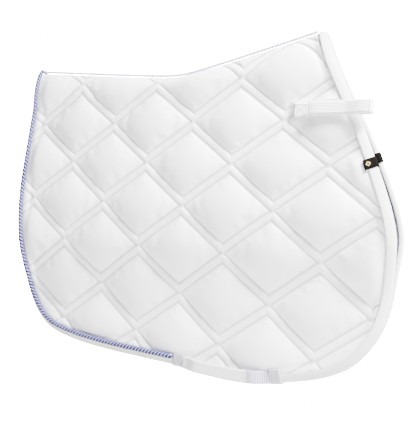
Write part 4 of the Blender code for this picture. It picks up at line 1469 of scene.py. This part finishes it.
def strap_frame(side):
    """Where the strap is sewn on, and its along, across and outward directions."""
    upper, lower = BELLY_DROP / 6.0, BELLY_DROP / 3.0
    gaps = half_gap(upper), half_gap(lower)
    slope = float(gaps[1] - gaps[0]) / (lower - upper)
    gap = float(gaps[0]) + slope * (FOLD_Z - ANCHOR_Z - upper)
    length = math.hypot(1.0, slope)
    outward = np.array([0.0, side / length, slope / length])
    upward = np.array([0.0, -outward[2] * side, abs(outward[1])])
    forward = np.array([1.0, 0.0, 0.0])
    slant = STRAP_SLANT[side]
    along = math.cos(slant) * forward + math.sin(slant) * upward
    across = math.cos(slant) * upward - math.sin(slant) * forward
    return np.array([ANCHOR_X, side * gap, ANCHOR_Z]), along, across, outward


def on_strap(side, distance, sideways, height):
    """Places on the strap of one side, which sags a little under its own weight."""
    origin, along, across, outward = strap_frame(side)
    sag = STRAP_SAG[side]
    along, across = (math.cos(sag) * along - math.sin(sag) * across,
                     math.cos(sag) * across + math.sin(sag) * along)
    distance, sideways, height = np.broadcast_arrays(np.asarray(distance, float), sideways, height)
    return origin + distance[..., None] * along + sideways[..., None] * across + height[..., None] * outward


def base_route():
    """Route of the strap's base as (distance, height), ending round the nose."""
    flat = GAP + WEBBING_THICKNESS / 2.0
    start = ANCHOR_SIZE / 2.0 + GAP
    rise = [(start, flat + 0.0003), (start + 0.008, 0.30 * STRAP_LIFT), (start + 0.016, STRAP_LIFT * 0.97),
            (start + 0.030, STRAP_LIFT), (STRAP_REACH - 0.004, STRAP_LIFT)]
    nose = [(STRAP_REACH + NOSE_RADIUS * math.sin(turn), STRAP_LIFT + NOSE_RADIUS * (1.0 - math.cos(turn)))
            for turn in np.linspace(0.0, math.pi, 9)]
    return np.array(smooth_curve(rise, 5)[:-1] + [np.array(point) for point in rise[-1:] + nose])


def flap_route():
    """Route of the flap, from the nose back to its free end."""
    top = STRAP_LIFT + 2.0 * NOSE_RADIUS
    closed = STRAP_LIFT + WEBBING_THICKNESS + 2.0 * PATCH_THICKNESS + 3.0 * GAP
    patch_end = PATCH_START + PATCH_LENGTH
    knots = [(STRAP_REACH - GAP, top), (STRAP_REACH - 0.014, top), (patch_end + 0.012, closed + 0.0006),
             (patch_end, closed), (PATCH_START - 0.002, closed), (TAIL_START, closed - 0.0015)]
    return np.array(smooth_curve(knots, 6))


def route_strip(name, side, route, material):
    """Webbing along a route of (distance, height) pairs."""
    lengths = running_length(route)

    def place(along, across):
        length = along * lengths[-1]
        spot = along_row(length, lengths, route)
        ahead = along_row(np.minimum(length + 0.0006, lengths[-1]), lengths, route)
        ahead -= along_row(np.maximum(length - 0.0006, 0.0), lengths, route)
        ahead /= np.linalg.norm(ahead, axis=-1, keepdims=True)
        spot = spot + np.stack([-ahead[..., 1], ahead[..., 0]], axis=-1) * WEBBING_THICKNESS / 2.0
        return on_strap(side, spot[..., 0], (across - 0.5) * WEBBING_WIDTH, spot[..., 1])

    def flat(along, across):
        return along * lengths[-1], across * WEBBING_WIDTH

    _, _, _, outward = strap_frame(side)
    face = 1.0 if route[-1][0] > route[0][0] else -1.0
    return strip(name, 70, 6, place, flat, WEBBING_THICKNESS, material, outward * face)


def build_straps():
    """Sewn patch, base and flap of both billet straps."""
    for label, side in SIDES.items():
        def patch(u, v):
            height = ANCHOR_LIFT + WEBBING_THICKNESS + 0.0001
            return on_strap(side, u, v, height), on_strap(side, u, v, height + 0.001)

        _, _, _, outward = strap_frame(side)
        anchor = strip(f"{label}_strap_patch", 8, 8,
                       lambda u, v: on_strap(side, (u - 0.5) * ANCHOR_SIZE, (v - 0.5) * ANCHOR_SIZE,
                                             ANCHOR_LIFT + WEBBING_THICKNESS),
                       lambda u, v: (u * ANCHOR_SIZE, v * ANCHOR_SIZE), WEBBING_THICKNESS, strap_webbing(),
                       outward)
        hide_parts(f"{label}_strap_anchor")
        sewn = stitches(f"{label}_strap_patch_stitches", box_stitches(patch, 0.0185, 0.0175), tape_thread())
        for piece in (anchor, sewn):
            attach(piece, f"{label}_panel")
        base = route_strip(f"{label}_strap_band", side, base_route(), strap_webbing())
        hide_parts(f"{label}_strap_base")
        start = ANCHOR_SIZE / 2.0
        on_strap(side, start, 0.0, 0.0)
        on_strap(side, start + STRAP_BLEND, 0.0, 0.0)
        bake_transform(base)
        flap = route_strip(f"{label}_strap_end", side, flap_route(), strap_webbing())
        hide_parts(f"{label}_strap_flap")
        on_strap(side, STRAP_REACH, 0.0, 0.0)
        on_strap(side, STRAP_REACH - STRAP_BLEND, 0.0, 0.0)
        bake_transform(flap)
        for node, material in (("loop_tape", loop_pile()), ("hook_tape", hooks())):
            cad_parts[f"{label}_{node}"].material_slots[0].material = material


# ---------------------------------------------------------------- stage

def build_stage():
    """Pale floor, soft lights and the camera."""
    scene = bpy.context.scene
    world = bpy.data.worlds.new("studio")
    world.use_nodes = True
    tree = world.node_tree
    seen = add_node(tree, "ShaderNodeLightPath").outputs["Is Camera Ray"]
    glow = tree.nodes["Background"]
    glow.inputs["Color"].default_value = (1.0, 1.0, 1.0, 1.0)
    tree.links.new(calculate(tree, "MULTIPLY_ADD", seen, BACKDROP_GLOW, SOFT_LIGHT), glow.inputs["Strength"])
    scene.world = world
    bm = bmesh.new()
    bmesh.ops.create_grid(bm, x_segments=1, y_segments=1, size=FLOOR_SIZE,
                          matrix=Matrix.Translation((0.0, 0.0, FLOOR_Z)))
    material, tree, shader = start_material("studio_floor", 0.9)
    shader.inputs["Base Color"].default_value = (*colours().floor, 1.0)
    shader.inputs["Emission Color"].default_value = (1.0, 1.0, 1.0, 1.0)
    seen = add_node(tree, "ShaderNodeLightPath").outputs["Is Camera Ray"]
    tree.links.new(times(tree, seen, BACKDROP_GLOW), shader.inputs["Emission Strength"])
    floor = finished("studio_floor", mesh_of(bm), material, smooth=False)
    for name, place, size, power in LAMPS:
        light = bpy.data.lights.new(name, "AREA")
        light.energy = power
        light.size = size
        lamp = bpy.data.objects.new(name, light)
        lamp.location = place
        lamp.rotation_euler = (Vector(LAMP_TARGET) - Vector(place)).to_track_quat("-Z", "Y").to_euler()
        scene.collection.objects.link(lamp)
    camera = bpy.data.objects.new("camera", bpy.data.cameras.new("camera"))
    level = math.cos(CAMERA_CLIMB)
    toward = Vector((-math.sin(CAMERA_YAW) * level, math.cos(CAMERA_YAW) * level, math.sin(CAMERA_CLIMB)))
    camera.location = CAMERA_PLACE
    camera.rotation_euler = toward.to_track_quat("-Z", "Y").to_euler()
    camera.data.lens = CAMERA_LENS
    camera.data.sensor_width = 36.0
    camera.data.sensor_fit = "HORIZONTAL"
    camera.data.clip_start = 0.05
    scene.collection.objects.link(camera)
    scene.camera = camera


# ---------------------------------------------------------------- operators

class PadStage(bpy.types.Operator):
    """Set up the floor, the lights and the camera"""

    bl_idname = "saddle_pad.stage"
    bl_label = "Stage"

    def execute(self, context):
        build_stage()
        return {"FINISHED"}


class PadQuilts(bpy.types.Operator):
    """Build the two padded halves with their quilting"""

    bl_idname = "saddle_pad.quilts"
    bl_label = "Quilted halves"

    def execute(self, context):
        build_quilts()
        return {"FINISHED"}


class PadLinings(bpy.types.Operator):
    """Build the lining of both halves"""

    bl_idname = "saddle_pad.linings"
    bl_label = "Linings"

    def execute(self, context):
        build_linings()
        return {"FINISHED"}


class PadBindings(bpy.types.Operator):
    """Fold the edge tape round the rim and stitch it"""

    bl_idname = "saddle_pad.bindings"
    bl_label = "Bindings"

    def execute(self, context):
        build_bindings()
        return {"FINISHED"}


class PadRopes(bpy.types.Operator):
    """Twist the rope piping along the rear edges and the ridge"""

    bl_idname = "saddle_pad.ropes"
    bl_label = "Rope piping"

    def execute(self, context):
        build_ropes()
        return {"FINISHED"}


class PadGirthLoops(bpy.types.Operator):
    """Build the girth loops with their sewn tabs and elastic"""

    bl_idname = "saddle_pad.girth_loops"
    bl_label = "Girth loops"

    def execute(self, context):
        build_girth_loops()
        return {"FINISHED"}


class PadBadges(bpy.types.Operator):
    """Fold the woven badges over the front edge"""

    bl_idname = "saddle_pad.badges"
    bl_label = "Badges"

    def execute(self, context):
        build_badges()
        return {"FINISHED"}


class PadStraps(bpy.types.Operator):
    """Build the billet straps with their sewn patches"""

    bl_idname = "saddle_pad.straps"
    bl_label = "Billet straps"

    def execute(self, context):
        build_straps()
        return {"FINISHED"}


class PadPanel(bpy.types.Panel):
    """Lists the pad's pieces"""

    bl_idname = "VIEW3D_PT_saddle_pad"
    bl_label = "Saddle Pad"
    bl_space_type = "VIEW_3D"
    bl_region_type = "UI"
    bl_category = "Saddle Pad"

    def draw(self, context):
        for piece in PIECES:
            self.layout.operator(piece.bl_idname)


PIECES = (PadStage, PadQuilts, PadLinings, PadBindings, PadRopes, PadGirthLoops, PadBadges, PadStraps)
CLASSES = (PadSizes, PadColours, *PIECES, PadPanel)


def register():
    """Add the classes and the settings to Blender."""
    for item in CLASSES:
        bpy.utils.register_class(item)
    bpy.types.Scene.pad_sizes = PointerProperty(type=PadSizes)
    bpy.types.Scene.pad_colours = PointerProperty(type=PadColours)


def unregister():
    """Take the classes and the settings away again."""
    del bpy.types.Scene.pad_colours
    del bpy.types.Scene.pad_sizes
    for item in reversed(CLASSES):
        bpy.utils.unregister_class(item)


def main():
    """Build every piece in order."""
    register()
    for piece in PIECES:
        category, name = piece.bl_idname.split(".")
        getattr(getattr(bpy.ops, category), name)()


if __name__ == "__main__":
    main()
